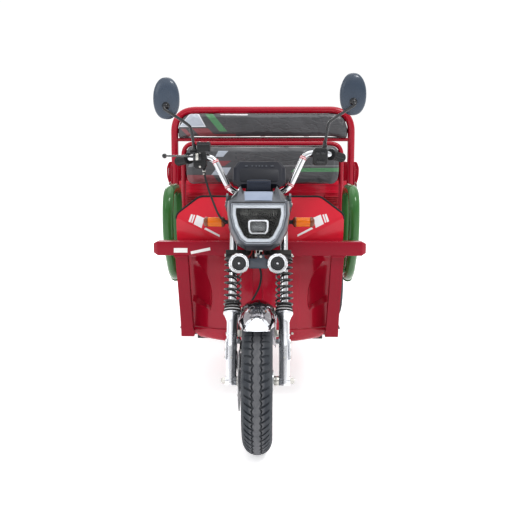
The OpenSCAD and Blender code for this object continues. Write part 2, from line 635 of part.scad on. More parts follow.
module rear_place(s) placed() translate([s * track / 2, wheelbase, axle_z]) children();
module rear_tyre_left() color(rubber_c) rear_place(-1) tyre();
module rear_tyre_right() color(rubber_c) rear_place(1) tyre();
module rear_rim_left() color(silver) rear_place(-1) mirror([1, 0, 0]) rim(-58, 35, 38, 17.05, 90);
module rear_rim_right() color(silver) rear_place(1) rim(-58, 35, 38, 17.05, 90);

main_frame();
leg_shield();
front_bumper();
footwell_floor();
seat_box();
battery_pack();
backrest_frame();
backrest_cushion();
guard_loops();
bed_floor();
bed_front_wall();
headboard_frame();
headboard_pad();
leaf_springs();
rear_axle();
drive_motor();
rear_bumper();
tail_lights();
brake_pedal();
left_gate();
right_gate();
tailgate();
seat_base();
seat_cushion();
steering_yokes();
fork_stanchions();
fork_lower_legs();
fork_springs();
front_axle();
brake_caliper();
brake_hose();
front_mudguard();
headlight_shroud();
headlight_unit();
headlight_lens();
indicators();
horns();
instrument();
handlebar();
grips();
brake_lever();
switch_pod();
mirrors();
front_tyre();
front_rim();
brake_disc();
rear_tyre_left();
rear_rim_left();
rear_tyre_right();
rear_rim_right();
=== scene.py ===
import math
import random

import bmesh
import bpy
import numpy as np
from mathutils import Matrix, Vector, noise


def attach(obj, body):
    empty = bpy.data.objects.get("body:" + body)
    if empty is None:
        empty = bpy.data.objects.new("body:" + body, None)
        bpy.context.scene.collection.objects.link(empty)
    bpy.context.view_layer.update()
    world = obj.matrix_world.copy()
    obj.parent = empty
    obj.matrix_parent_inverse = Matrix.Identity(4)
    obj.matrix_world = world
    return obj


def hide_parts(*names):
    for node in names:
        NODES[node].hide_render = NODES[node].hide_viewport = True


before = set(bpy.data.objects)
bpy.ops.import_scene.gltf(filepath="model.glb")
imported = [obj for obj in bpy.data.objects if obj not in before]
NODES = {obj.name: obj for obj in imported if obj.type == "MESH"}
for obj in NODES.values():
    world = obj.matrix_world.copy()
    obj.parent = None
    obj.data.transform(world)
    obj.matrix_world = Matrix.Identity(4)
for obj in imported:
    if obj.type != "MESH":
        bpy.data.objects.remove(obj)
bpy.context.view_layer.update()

RNG = random.Random(7)

# Lengths below are millimetres behind the front axle, as in the CAD layout.
Y0 = 1209.5
AXLE_Z = 245.0
SINK = 17.0
RAKE = math.radians(25.0)
STEER = math.radians(0.0)
AXIS = Vector((0, math.sin(RAKE), math.cos(RAKE)))
PIVOT = Vector((0, (50 * math.cos(RAKE) - Y0) / 1000, (AXLE_Z - 50 * math.sin(RAKE) - SINK) / 1000))
M_STEER = Matrix.Translation(PIVOT) @ Matrix.Rotation(STEER, 4, AXIS) @ Matrix.Translation(-PIVOT)
STEERED = ("fork", "front_wheel")


def legs(x, v, w):
    """A point in the fork legs' frame: across, back, up the legs from the axle."""
    return (x, v * math.cos(RAKE) + w * math.sin(RAKE), AXLE_Z - v * math.sin(RAKE) + w * math.cos(RAKE))


def mirror_x(geo):
    v, f = geo
    return [(-x, y, z) for x, y, z in v], [tuple(reversed(q)) for q in f]


def join(*geos):
    verts, faces = [], []
    for v, f in geos:
        n = len(verts)
        verts.extend(v)
        faces.extend(tuple(i + n for i in q) for q in f)
    return verts, faces


def moved(geo, fn):
    return [tuple(fn(*p)) for p in geo[0]], geo[1]


def shifted(geo, x=0, y=0, z=0):
    return [(a + x, b + y, c + z) for a, b, c in geo[0]], geo[1]


def both(geo):
    return join(geo, mirror_x(geo))


def in_legs(geo):
    return moved(geo, legs)


# ---------------------------------------------------------------- shapes
def box(x0, x1, y0, y1, z0, z1):
    v = [(x, y, z) for x in (x0, x1) for y in (y0, y1) for z in (z0, z1)]
    f = [(0, 1, 3, 2), (4, 6, 7, 5), (0, 4, 5, 1), (2, 3, 7, 6), (0, 2, 6, 4), (1, 5, 7, 3)]
    return v, f


def orient(a, b):
    """Rotation that takes +Z to the direction from a to b."""
    d = (Vector(b) - Vector(a)).normalized()
    return d.to_track_quat("Z", "Y").to_matrix()


def revolve(profile, segs=48, a=(0, 0, 0), d=(0, 0, 1), start=0.0, sweep=360.0, closed=False):
    """Turns (radius, along) points about the axis from a in direction d. Points on the axis become poles."""
    m = orient((0, 0, 0), d)
    full = sweep >= 360.0
    n = segs if full else segs + 1
    verts, rings = [], []
    for r, h in profile:
        if r < 1e-6:
            verts.append((0, 0, h))
            rings.append([len(verts) - 1] * n)
        else:
            ring = []
            for i in range(n):
                t = math.radians(start + sweep * i / segs)
                verts.append((r * math.cos(t), r * math.sin(t), h))
                ring.append(len(verts) - 1)
            rings.append(ring)
    faces = []
    pairs = list(zip(rings, rings[1:])) + ([(rings[-1], rings[0])] if closed else [])
    for p, q in pairs:
        for i in range(segs):
            j = (i + 1) % n if full else i + 1
            quad = [p[i], p[j], q[j], q[i]]
            quad = [k for n_, k in enumerate(quad) if k not in quad[:n_]]
            if len(quad) > 2:
                faces.append(tuple(quad))
    if not full and closed:
        faces.append(tuple(r[0] for r in rings))
        faces.append(tuple(r[-1] for r in reversed(rings)))
    out = []
    for p in verts:
        q = m @ Vector(p)
        out.append((q.x + a[0], q.y + a[1], q.z + a[2]))
    return out, faces


def rod(a, b, r, segs=24, bevel=0.0, r2=None):
    """Round bar from a to b with softened ends."""
    h = (Vector(b) - Vector(a)).length
    e = bevel or min(r * 0.12, 1.2)
    r2 = r if r2 is None else r2
    d = Vector(b) - Vector(a)
    return revolve([(0, 0), (r - e, 0), (r, e), (r2, h - e), (r2 - e, h), (0, h)], segs, a, d)


def ball(c, r, segs=20, squash=1.0):
    n = segs // 2
    return revolve([(r * math.sin(math.pi * i / n), -r * squash * math.cos(math.pi * i / n)) for i in range(n + 1)], segs, c)


def bend(a, p, b, r, k):
    a, p, b = Vector(a), Vector(p), Vector(b)
    q0 = p + (a - p).normalized() * r
    q1 = p + (b - p).normalized() * r
    return [q0 * (1 - t) ** 2 + p * 2 * t * (1 - t) + q1 * t * t for t in [i / k for i in range(k + 1)]]


def route(pts, r, k=8, loop=False):
    pts = [Vector(p) for p in pts]
    n = len(pts)
    if loop:
        return [q for i in range(n) for q in bend(pts[i - 1], pts[i], pts[(i + 1) % n], r, k)]
    out = [pts[0]]
    for i in range(1, n - 1):
        out += bend(pts[i - 1], pts[i], pts[i + 1], r, k)
    return out + [pts[-1]]


def sweep(path, section, n0=(0, 0, 1), loop=False, caps=True, scale=None):
    """Sweeps a closed section of (a, b) points along a path. a lies along the carried normal."""
    path = [Vector(p) for p in path]
    m = len(path)
    n = Vector(n0)
    verts, k = [], len(section)
    for i in range(m):
        if loop:
            t = path[(i + 1) % m] - path[i - 1]
        else:
            t = path[min(i + 1, m - 1)] - path[max(i - 1, 0)]
        t.normalize()
        n = (n - t * n.dot(t)).normalized()
        b = t.cross(n)
        s = scale(i / (m - 1)) if scale else 1.0
        for u, w in section:
            q = path[i] + n * u * s + b * w * s
            verts.append((q.x, q.y, q.z))
    faces = []
    for i in range(m if loop else m - 1):
        p, q = i * k, ((i + 1) % m) * k
        for j in range(k):
            l = (j + 1) % k
            faces.append((p + j, p + l, q + l, q + j))
    if not loop and caps:
        faces.append(tuple(range(k - 1, -1, -1)))
        faces.append(tuple((m - 1) * k + j for j in range(k)))
    return verts, faces


def circle(r, n=20):
    return [(r * math.cos(2 * math.pi * i / n), r * math.sin(2 * math.pi * i / n)) for i in range(n)]


def tube(path, r, n0=(0, 0, 1), segs=20, loop=False, scale=None):
    return sweep(path, circle(r, segs), n0, loop, True, scale)


def rrect(w, h, r, k=4):
    """Rounded rectangle section, half sizes w and h."""
    out = []
    for cx, cy, a0 in ((w - r, h - r, 0), (-w + r, h - r, 90), (-w + r, -h + r, 180), (w - r, -h + r, 270)):
        for i in range(k + 1):
            t = math.radians(a0 + 90 * i / k)
            out.append((cx + r * math.cos(t), cy + r * math.sin(t)))
    return out


def round_poly(pts, r, k=4):
    """Rounds the corners of a flat outline."""
    n = len(pts)
    out = []
    for i in range(n):
        a, p, b = (Vector((*pts[j % n], 0)) for j in (i - 1, i, i + 1))
        rr = r[i] if isinstance(r, (list, tuple)) else r
        rr = min(rr, (a - p).length * 0.45, (b - p).length * 0.45)
        if rr < 0.05:
            out.append((p.x, p.y))
        else:
            out += [(q.x, q.y) for q in bend(a, p, b, rr, k)]
    return out


def inset(pts, d):
    """Moves a counter-clockwise outline inwards by d."""
    n = len(pts)
    out = []
    for i in range(n):
        a, p, b = (Vector(pts[j % n]) for j in (i - 1, i, i + 1))
        e0, e1 = (p - a), (b - p)
        if e0.length < 1e-9 or e1.length < 1e-9:
            out.append((p.x, p.y))
            continue
        n0 = Vector((-e0.y, e0.x)).normalized()
        n1 = Vector((-e1.y, e1.x)).normalized()
        m = n0 + n1
        m = m / max(m.length_squared / 2, 0.35)
        q = p + m * d
        out.append((q.x, q.y))
    return out


def area2(pts):
    return sum(a[0] * b[1] - b[0] * a[1] for a, b in zip(pts, pts[1:] + pts[:1]))


def front_plate(pts, l0, l1, e=1.0, k=2):
    """Outline (across, height) made solid from l0 to l1, with softened edges of size e."""
    if area2(pts) < 0:
        pts = pts[::-1]
    rings = []
    for i in range(k + 1):
        t = math.pi / 2 * i / k
        rings.append((inset(pts, e * (1 - math.sin(t))), l0 + e * (1 - math.cos(t))))
    for i in range(k, -1, -1):
        t = math.pi / 2 * i / k
        rings.append((inset(pts, e * (1 - math.sin(t))), l1 - e * (1 - math.cos(t))))
    n = len(pts)
    verts = [(x, l, z) for ring, l in rings for x, z in ring]
    faces = [tuple(range(n))]
    for i in range(len(rings) - 1):
        for j in range(n):
            q = (j + 1) % n
            faces.append((i * n + j, (i + 1) * n + j, (i + 1) * n + q, i * n + q))
    faces.append(tuple((len(rings) - 1) * n + j for j in range(n - 1, -1, -1)))
    return verts, faces


def side_plate(pts, x0, x1, e=1.0, k=2):
    """Outline (behind the axle, height) made solid from x0 to x1."""
    v, f = front_plate(pts, x0, x1, e, k)
    return [(y, x, z) for x, y, z in v], [tuple(reversed(q)) for q in f]


def top_plate(pts, z0, z1, e=1.0, k=2):
    """Outline (across, behind the axle) made solid from z0 to z1."""
    v, f = front_plate(pts, z0, z1, e, k)
    return [(x, z, y) for x, y, z in v], [tuple(reversed(q)) for q in f]


def rbox(x0, x1, y0, y1, z0, z1, r=3.0, e=1.0, k=4):
    """Box with round upright edges (radius r seen from the front) and softened faces."""
    w, h = (x1 - x0) / 2, (z1 - z0) / 2
    pts = [(x + (x0 + x1) / 2, z + (z0 + z1) / 2) for x, z in rrect(w, h, min(r, w * 0.95, h * 0.95), k)]
    return front_plate(pts, y0, y1, e)


def hex_bolt(a, d, r=6.0, h=5.0, washer=True):
    """Hexagon head with a washer, standing on point a in direction d."""
    parts = []
    m = orient((0, 0, 0), d)
    if washer:
        parts.append(revolve([(0, 0), (r * 1.55, 0), (r * 1.6, 0.3), (r * 1.55, 1.2), (0, 1.2)], 20, a, d))
    verts = []
    for h_, s in ((1.2, 1.0), (h + 0.6, 1.0), (h + 1.2, 0.86)):
        for i in range(6):
            t = math.pi / 3 * i
            q = m @ Vector((r * s * math.cos(t), r * s * math.sin(t), h_))
            verts.append((q.x + a[0], q.y + a[1], q.z + a[2]))
    faces = [(i + 6 * k, (i + 1) % 6 + 6 * k, (i + 1) % 6 + 6 * k + 6, i + 6 * k + 6) for k in range(2) for i in range(6)]
    faces.append(tuple(12 + i for i in range(6)))
    faces.append(tuple(range(5, -1, -1)))
    parts.append((verts, faces))
    return join(*parts)


def loft(rings, caps=True):
    """Skin over closed rings that all have as many points."""
    k = len(rings[0])
    verts = [tuple(p) for ring in rings for p in ring]
    faces = []
    for i in range(len(rings) - 1):
        for j in range(k):
            q = (j + 1) % k
            faces.append((i * k + j, i * k + q, (i + 1) * k + q, (i + 1) * k + j))
    if caps:
        faces.append(tuple(range(k - 1, -1, -1)))
        faces.append(tuple((len(rings) - 1) * k + j for j in range(k)))
    return verts, faces


def shell(grid, t, skip=lambda i, j: False):
    """Closed sheet, t thick to the back, from rows of points."""
    nr, nc = len(grid), len(grid[0])
    verts = [p for row in grid for p in row]
    n = len(verts)
    verts += [(x, l + t, z) for x, l, z in verts]
    front = []
    for i in range(nr - 1):
        for j in range(nc - 1):
            if not skip(i, j):
                a = i * nc + j
                front.append((a, a + 1, a + nc + 1, a + nc))
    count = {}
    for q in front:
        for k in range(4):
            e = frozenset((q[k], q[(k + 1) % 4]))
            count[e] = count.get(e, 0) + 1
    faces = list(front) + [tuple(i + n for i in reversed(q)) for q in front]
    for q in front:
        for k in range(4):
            a, b = q[k], q[(k + 1) % 4]
            if count[frozenset((a, b))] == 1:
                faces.append((b, a, a + n, b + n))
    return verts, faces


# ---------------------------------------------------------------- objects
def make(name, geo, body, mat, replaces=(), smooth=True, angle=38.0, bevel=0.0, segs=2):
    verts, faces = geo
    me = bpy.data.meshes.new(name)
    pts = [Vector((x / 1000, (y - Y0) / 1000, (z - SINK) / 1000)) for x, y, z in verts]
    if body in STEERED:
        pts = [M_STEER @ p for p in pts]
    me.from_pydata([tuple(p) for p in pts], [], faces)
    me.validate()
    bm = bmesh.new()
    bm.from_mesh(me)
    bmesh.ops.delete(bm, geom=[v for v in bm.verts if not v.link_faces], context="VERTS")
    bmesh.ops.recalc_face_normals(bm, faces=bm.faces[:])
    bm.to_mesh(me)
    bm.free()
    for p in me.polygons:
        p.use_smooth = smooth
    if smooth:
        me.set_sharp_from_angle(angle=math.radians(angle))
    mats = mat if isinstance(mat, (list, tuple)) else [mat]
    for x in mats:
        me.materials.append(x)
    ob = bpy.data.objects.new(name, me)
    bpy.context.scene.collection.objects.link(ob)
    if bevel:
        add_bevel(ob, bevel, segs)
    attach(ob, body)
    if replaces:
        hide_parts(*([replaces] if isinstance(replaces, str) else replaces))
    return ob


def add_bevel(ob, width, segs=2, angle=32.0, weld=False):
    if weld:
        w = ob.modifiers.new("weld", "WELD")
        w.merge_threshold = 0.00002
    b = ob.modifiers.new("bevel", "BEVEL")
    b.width = width / 1000
    b.segments = segs
    b.limit_method = "ANGLE"
    b.angle_limit = math.radians(angle)
    b.harden_normals = False
    b.use_clamp_overlap = True


def dress(node, mat, bevel=0.0, segs=2, angle=32.0):
    """Gives a CAD node its finish, and softens its edges."""
    ob = NODES[node]
    if not ob.data.materials:
        ob.data.materials.append(mat)
    for i in range(len(ob.data.materials)):
        ob.data.materials[i] = mat
    if bevel:
        add_bevel(ob, bevel, segs, angle, weld=True)
    return ob


# ---------------------------------------------------------------- materials
class Mat:
    """A small builder for node materials. Patterns are in the object's own metres."""

    def __init__(self, name, color, rough=0.5, metal=0.0, coat=0.0, coat_rough=0.04, spec=0.5, trans=0.0, ior=1.45,
                 alpha=1.0, sheen=0.0):
        self.mat = bpy.data.materials.new(name)
        self.mat.use_nodes = True
        self.nt = self.mat.node_tree
        self.bsdf = self.nt.nodes["Principled BSDF"]
        s = self.bsdf.inputs
        s["Base Color"].default_value = (*color, 1)
        s["Roughness"].default_value = rough
        s["Metallic"].default_value = metal
        s["Coat Weight"].default_value = coat
        s["Coat Roughness"].default_value = coat_rough
        s["Specular IOR Level"].default_value = spec
        s["Transmission Weight"].default_value = trans
        s["IOR"].default_value = ior
        s["Alpha"].default_value = alpha
        s["Sheen Weight"].default_value = sheen
        self.color = color
        self.rough = rough
        tc = self.nt.nodes.new("ShaderNodeTexCoord")
        self.pos = tc.outputs["Object"]
        self.height = None

    def node(self, kind, **props):
        n = self.nt.nodes.new(kind)
        for k, v in props.items():
            setattr(n, k, v)
        return n

    def link(self, a, b):
        self.nt.links.new(a, b)

    def scaled(self, x, y, z):
        n = self.node("ShaderNodeVectorMath", operation="MULTIPLY")
        self.link(self.pos, n.inputs[0])
        n.inputs[1].default_value = (x, y, z)
        return n.outputs[0]

    def noise(self, scale, detail=3.0, rough=0.55, vec=None, distort=0.0):
        n = self.node("ShaderNodeTexNoise")
        self.link(vec or self.pos, n.inputs["Vector"])
        n.inputs["Scale"].default_value = scale
        n.inputs["Detail"].default_value = detail
        n.inputs["Roughness"].default_value = rough
        n.inputs["Distortion"].default_value = distort
        return n.outputs["Fac"]

    def voronoi(self, scale, feature="F1", vec=None, out="Distance"):
        n = self.node("ShaderNodeTexVoronoi", feature=feature)
        self.link(vec or self.pos, n.inputs["Vector"])
        n.inputs["Scale"].default_value = scale
        return n.outputs[out]

    def math(self, op, a, b=None, c=None, clamp=False):
        n = self.node("ShaderNodeMath", operation=op)
        n.use_clamp = clamp
        for i, v in enumerate((a, b, c)):
            if v is None:
                continue
            if isinstance(v, (int, float)):
                n.inputs[i].default_value = v
            else:
                self.link(v, n.inputs[i])
        return n.outputs[0]

    def span(self, v, a, b, to0=0.0, to1=1.0, smooth=False):
        n = self.node("ShaderNodeMapRange")
        n.interpolation_type = "SMOOTHSTEP" if smooth else "LINEAR"
        self.link(v, n.inputs["Value"])
        n.inputs["From Min"].default_value = a
        n.inputs["From Max"].default_value = b
        n.inputs["To Min"].default_value = to0
        n.inputs["To Max"].default_value = to1
        return n.outputs["Result"]

    def mix(self, fac, a, b):
        n = self.node("ShaderNodeMix", data_type="RGBA")
        for v, s in ((fac, n.inputs["Factor"]), (a, n.inputs["A"]), (b, n.inputs["B"])):
            if isinstance(v, tuple):
                s.default_value = (*v, 1)
            elif isinstance(v, (int, float)):
                s.default_value = v
            else:
                self.link(v, s)
        return n.outputs["Result"]

    def xyz(self):
        n = self.node("ShaderNodeSeparateXYZ")
        self.link(self.pos, n.inputs[0])
        return n.outputs

    def normal_z(self):
        g = self.node("ShaderNodeNewGeometry")
        n = self.node("ShaderNodeSeparateXYZ")
        self.link(g.outputs["Normal"], n.inputs[0])
        return n.outputs["Z"]

    def set_color(self, v):
        self.link(v, self.bsdf.inputs["Base Color"])
        self.color = v

    def set_rough(self, v):
        self.link(v, self.bsdf.inputs["Roughness"])

    def bump(self, height, strength=0.2, dist=0.001):
        n = self.node("ShaderNodeBump")
        n.inputs["Strength"].default_value = strength
        n.inputs["Distance"].default_value = dist
        self.link(height, n.inputs["Height"])
        if self.height is not None:
            self.link(self.height, n.inputs["Normal"])
        self.height = n.outputs["Normal"]
        self.link(self.height, self.bsdf.inputs["Normal"])

    def halfplane(self, a, b, c, x, z):
        """1 where a*x + b*z + c > 0."""
        t = self.math("MULTIPLY_ADD", z, b, c)
        t = self.math("MULTIPLY_ADD", x, a, t)
        return self.span(t, -0.0004, 0.0004)

    def patch(self, pts, front=None):
        """Mask of a convex outline in (across, height) millimetres, ahead of the length front."""
        o = self.xyz()
        if area2(pts) < 0:
            pts = pts[::-1]
        out = None
        for (x0, z0), (x1, z1) in zip(pts, pts[1:] + pts[:1]):
            ex, ez = x1 - x0, z1 - z0
            k = math.hypot(ex, ez)
            a, b = -ez / k, ex / k
            h = self.halfplane(a, b, -(a * x0 + b * (z0 - SINK)) / 1000, o["X"], o["Z"])
            out = h if out is None else self.math("MULTIPLY", out, h)
        if front is not None:
            out = self.math("MULTIPLY", out, self.span(o["Y"], (front - Y0 + 0.5) / 1000, (front - Y0) / 1000))
        return out

    def grime(self, dust=(0.32, 0.29, 0.26), amount=0.12, scale=9.0, rough_add=0.18):
        """Thin dust on the faces that look up, uneven over the surface."""
        up = self.span(self.normal_z(), 0.15, 1.0, 0.0, 1.0)
        n = self.span(self.noise(scale, 5.0, 0.6), 0.42, 0.72)
        m = self.math("MULTIPLY", self.math("MULTIPLY_ADD", up, 0.75, 0.25), n)
        m = self.math("MULTIPLY", m, amount)
        base = self.color
        self.set_color(self.mix(m, base, dust))
        r = self.math("ADD", self.rough if isinstance(self.rough, (int, float)) else self.rough,
                      self.math("MULTIPLY", m, rough_add / max(amount, 0.01)))
        self.set_rough(r)

    def vary(self, other, scale=4.0, lo=0.35, hi=0.7, detail=4.0):
        base = self.color
        self.set_color(self.mix(self.span(self.noise(scale, detail), lo, hi), base, other))


def paint(name, color, deep, rough=0.22, coat=0.4, peel=0.05, dust=0.05):
    m = Mat(name, color, rough, 0.0, coat, 0.05, spec=0.3)
    m.vary(deep, 2.2, 0.3, 0.75)
    m.grime(amount=dust, scale=7.0, rough_add=0.16)
    m.bump(m.noise(180.0, 2.0), peel, 0.0004)
    m.bump(m.noise(9.0, 2.0), 0.05, 0.002)
    return m.mat


RED = paint("crimson_paint", (0.38, 0.0045, 0.028), (0.32, 0.0035, 0.018), 0.20)
# painted light: a lighter copy of the crimson paint, used only on the bed's front wall so that it reads brighter
WALL_RED_LIT = paint("bed_wall_paint_lit", (0.60, 0.010, 0.045), (0.50, 0.008, 0.03), 0.20)
RED_IN = paint("crimson_paint_inside", (0.42, 0.008, 0.02), (0.30, 0.006, 0.014), 0.42, 0.35, 0.10, 0.12)
GREEN = paint("green_paint", (0.045, 0.165, 0.042), (0.03, 0.115, 0.03), 0.16)
BLACK = paint("black_paint", (0.018, 0.018, 0.02), (0.028, 0.027, 0.027), 0.42, 0.25, 0.15, 0.22)


def worn_floor():
    m = Mat("worn_red_floor", (0.40, 0.01, 0.022), 0.45, 0.0, 0.25, 0.2)
    m.vary((0.26, 0.012, 0.016), 3.0, 0.3, 0.7)
    s = m.span(m.noise(40.0, 6.0, 0.7, m.scaled(1, 0.12, 1)), 0.60, 0.66)
    p = m.span(m.noise(2.2, 3.0), 0.48, 0.62)
    s = m.math("MULTIPLY", s, p)
    m.set_color(m.mix(s, m.color, (0.20, 0.19, 0.185)))
    m.rough = m.span(s, 0, 1, 0.42, 0.6)
    m.grime(amount=0.30, scale=5.0)
    m.bump(m.noise(60.0, 4.0), 0.15, 0.0008)
    return m.mat


FLOOR_RED = worn_floor()


def footwell():
    m = Mat("floor_mat", (0.035, 0.035, 0.038), 0.7)
    m.grime(amount=0.35, scale=6.0)
    m.bump(m.voronoi(140.0), 0.35, 0.0015)
    m.bump(m.noise(300.0, 2.0), 0.2, 0.0006)
    return m.mat


FOOT = footwell()


def plain(name, color, rough, metal=0.0, coat=0.0, other=None, grain=250.0, depth=0.12, dust=0.08, spec=0.5, scale=5.0):
    m = Mat(name, color, rough, metal, coat, 0.1, spec)
    if other:
        m.vary(other, scale)
    if dust:
        m.grime(amount=dust, scale=8.0)
    else:
        m.set_rough(m.span(m.noise(14.0, 4.0), 0.3, 0.7, rough * 0.8, rough * 1.3))
    if depth:
        m.bump(m.noise(grain, 3.0), depth, 0.0005)
    return m.mat


CHROME = plain("chrome", (0.66, 0.67, 0.69), 0.08, 1.0, 0.0, (0.56, 0.57, 0.59), 90.0, 0.015, 0.0, scale=12.0)
STEEL = plain("bare_steel", (0.56, 0.56, 0.57), 0.30, 1.0, 0.0, (0.42, 0.42, 0.43), 300.0, 0.08, 0.0)
ZINC = plain("zinc_bolts", (0.62, 0.61, 0.58), 0.34, 1.0, 0.0, (0.45, 0.44, 0.41), 200.0, 0.1, 0.0)
GUARD_CHROME = plain("guard_chrome", (0.60, 0.61, 0.63), 0.10, 1.0, 0.0, (0.46, 0.47, 0.49), 90.0, 0.02, 0.0, scale=12.0)
WHITE_METAL = plain("bright_sleeve", (0.70, 0.71, 0.71), 0.22, 0.6, 0.3, (0.58, 0.59, 0.60), 90.0, 0.04, 0.03, scale=30.0)
SILVER = plain("silver_paint", (0.86, 0.87, 0.89), 0.27, 0.85, 0.2, (0.78, 0.79, 0.81), 300.0, 0.06, 0.05)
RIM = plain("rim_paint", (0.58, 0.59, 0.60), 0.30, 0.6, 0.4, (0.48, 0.49, 0.50), 400.0, 0.06, 0.10)
SPRING = plain("spring_black", (0.010, 0.010, 0.012), 0.16, 0.0, 0.8, (0.022, 0.022, 0.024), 120.0, 0.04, 0.05)
PLASTIC = plain("black_plastic", (0.016, 0.017, 0.019), 0.42, 0.0, 0.0, (0.024, 0.025, 0.027), 700.0, 0.25, 0.10)
PLASTIC_GLOSS = plain("black_gloss", (0.008, 0.009, 0.012), 0.14, 0.0, 0.6, (0.014, 0.015, 0.018), 200.0, 0.03, 0.05)
NAVY = plain("navy_plastic", (0.008, 0.010, 0.019), 0.46, 0.0, 0.10, (0.013, 0.016, 0.028), 600.0, 0.22, 0.10)
SLATE = plain("slate_gloss", (0.050, 0.062, 0.085), 0.20, 0.0, 0.5, (0.036, 0.045, 0.062), 400.0, 0.04, 0.05)
BATTERY = plain("battery_case", (0.02, 0.02, 0.023), 0.55, 0.0, 0.0, (0.035, 0.035, 0.038), 300.0, 0.3, 0.2)
RUBBER = plain("rubber", (0.014, 0.014, 0.016), 0.62, 0.0, 0.0, (0.028, 0.028, 0.03), 500.0, 0.3, 0.18, 0.35)
STICKER = plain("white_sticker", (0.78, 0.78, 0.79), 0.35, 0.0, 0.3, (0.62, 0.63, 0.64), 60.0, 0.06, 0.08)
WHITE = plain("white_film", (0.80, 0.80, 0.81), 0.28, 0.0, 0.5, (0.68, 0.68, 0.69), 60.0, 0.03, 0.04)
PINK = plain("bright_red_film", (0.62, 0.06, 0.085), 0.30, 0.0, 0.5, (0.55, 0.04, 0.06), 60.0, 0.03, 0.04)
WIRE_RED = plain("wire_red", (0.45, 0.02, 0.02), 0.45, 0.0, 0.0, (0.30, 0.015, 0.015), 200.0, 0.1, 0.1)
WIRE_WHITE = plain("wire_white", (0.7, 0.7, 0.68), 0.45, 0.0, 0.0, (0.5, 0.5, 0.48), 200.0, 0.1, 0.1)
MOTOR = plain("motor_casting", (0.26, 0.265, 0.27), 0.5, 0.75, 0.0, (0.17, 0.17, 0.175), 220.0, 0.35, 0.25)


def flake_grey():
    m = Mat("metallic_grey", (0.085, 0.092, 0.105), 0.30, 0.6, 0.7, 0.06)
    f = m.span(m.noise(1600.0, 1.0), 0.55, 0.7)
    m.set_color(m.mix(f, (0.075, 0.082, 0.096), (0.16, 0.17, 0.19)))
    m.grime(amount=0.05, scale=8.0)
    m.bump(m.noise(160.0, 2.0), 0.03, 0.0004)
    return m.mat


SHROUD = flake_grey()
VISOR = plain("pale_visor", (0.20, 0.245, 0.33), 0.34, 0.2, 0.2, (0.26, 0.30, 0.385), 260.0, 0.03, 0.05)


def clear(name, color, rough=0.03, trans=0.92, alpha=1.0):
    m = Mat(name, color, rough, 0.0, 0.0, trans=trans, ior=1.46, alpha=alpha)
    m.set_rough(m.span(m.noise(25.0, 4.0), 0.3, 0.75, rough, rough + 0.05))
    m.bump(m.noise(60.0, 2.0), 0.02, 0.0004)
    return m.mat


LENS = clear("clear_lens", (0.92, 0.94, 0.96), 0.02, 0.97, 0.20)
AMBER = clear("amber_lens", (0.95, 0.26, 0.012), 0.12, 0.35)
AMBER_IN = plain("amber_inner", (0.70, 0.17, 0.01), 0.3, 0.0, 0.3, (0.55, 0.11, 0.01), 60.0, 0.1, 0.0)
RED_LENS = clear("red_lens", (0.62, 0.01, 0.015), 0.10, 0.25)
DRL = plain("light_guide", (0.66, 0.69, 0.73), 0.26, 0.0, 0.4, (0.54, 0.58, 0.63), 120.0, 0.05, 0.0)
REFLECTOR = plain("reflector", (0.30, 0.31, 0.33), 0.12, 1.0, 0.0, (0.20, 0.21, 0.23), 60.0, 0.03, 0.0)
GLASS_MIRROR = plain("mirror_glass", (0.82, 0.84, 0.86), 0.02, 1.0, 0.0, (0.80, 0.82, 0.84), 30.0, 0.0, 0.0)


LENS_THICK = clear("projector_glass", (0.86, 0.90, 0.94), 0.05, 0.85, 0.45)
EDGE = plain("edge_line", (0.50, 0.54, 0.60), 0.22, 0.4, 0.4, (0.42, 0.46, 0.52), 120.0, 0.03, 0.0)
AMBER_CAP = plain("amber_cap", (0.20, 0.045, 0.010), 0.22, 0.0, 0.4, (0.14, 0.030, 0.008), 120.0, 0.06, 0.06)
HORN_BLACK = plain("horn_cone", (0.030, 0.032, 0.036), 0.30, 0.0, 0.3, (0.018, 0.019, 0.022), 300.0, 0.06, 0.05)
NAVY_DARK = plain("navy_recess", (0.006, 0.008, 0.015), 0.40, 0.0, 0.1, (0.010, 0.012, 0.021), 600.0, 0.22, 0.08)
VENT_GREY = plain("vent_grey", (0.10, 0.11, 0.13), 0.45, 0.0, 0.0, (0.07, 0.08, 0.10), 300.0, 0.1, 0.1)
SCREEN = plain("dark_screen", (0.004, 0.005, 0.007), 0.06, 0.0, 0.8, (0.007, 0.008, 0.010), 60.0, 0.0, 0.03)
MOUNT = plain("mount_block", (0.036, 0.048, 0.082), 0.36, 0.0, 0.15, (0.026, 0.035, 0.062), 500.0, 0.2, 0.08)
RED_SWITCH = plain("switch_keys", (0.30, 0.02, 0.02), 0.35, 0.0, 0.2, (0.20, 0.015, 0.015), 200.0, 0.05, 0.05)
MIRROR_SLATE = plain("mirror_shell", (0.058, 0.078, 0.110), 0.24, 0.0, 0.35, (0.045, 0.062, 0.090), 400.0, 0.04, 0.05, 0.4)


def speckled():
    """Dark reflector inside the lamp, with painted glints: bright specks mixed into its colour, among paler and darker
    blotches.
    """
    m = Mat("reflector_painted_glints", (0.05, 0.052, 0.050), 0.22, 0.9)
    a = m.noise(420.0, 2.0, 0.7)
    c = m.mix(m.span(a, 0.50, 0.66), (0.045, 0.047, 0.045), (0.16, 0.155, 0.14))
    # painted glints: tiny bright specks mixed into the reflector's colour
    c = m.mix(m.span(m.noise(900.0, 1.0, 0.5), 0.60, 0.70), c, (0.55, 0.55, 0.52))
    c = m.mix(m.span(m.noise(160.0, 2.0, 0.5), 0.52, 0.64), c, (0.008, 0.008, 0.009))
    m.set_color(c)
    m.bump(a, 0.35, 0.0015)
    return m.mat


SPECKLE_GLINTS = speckled()


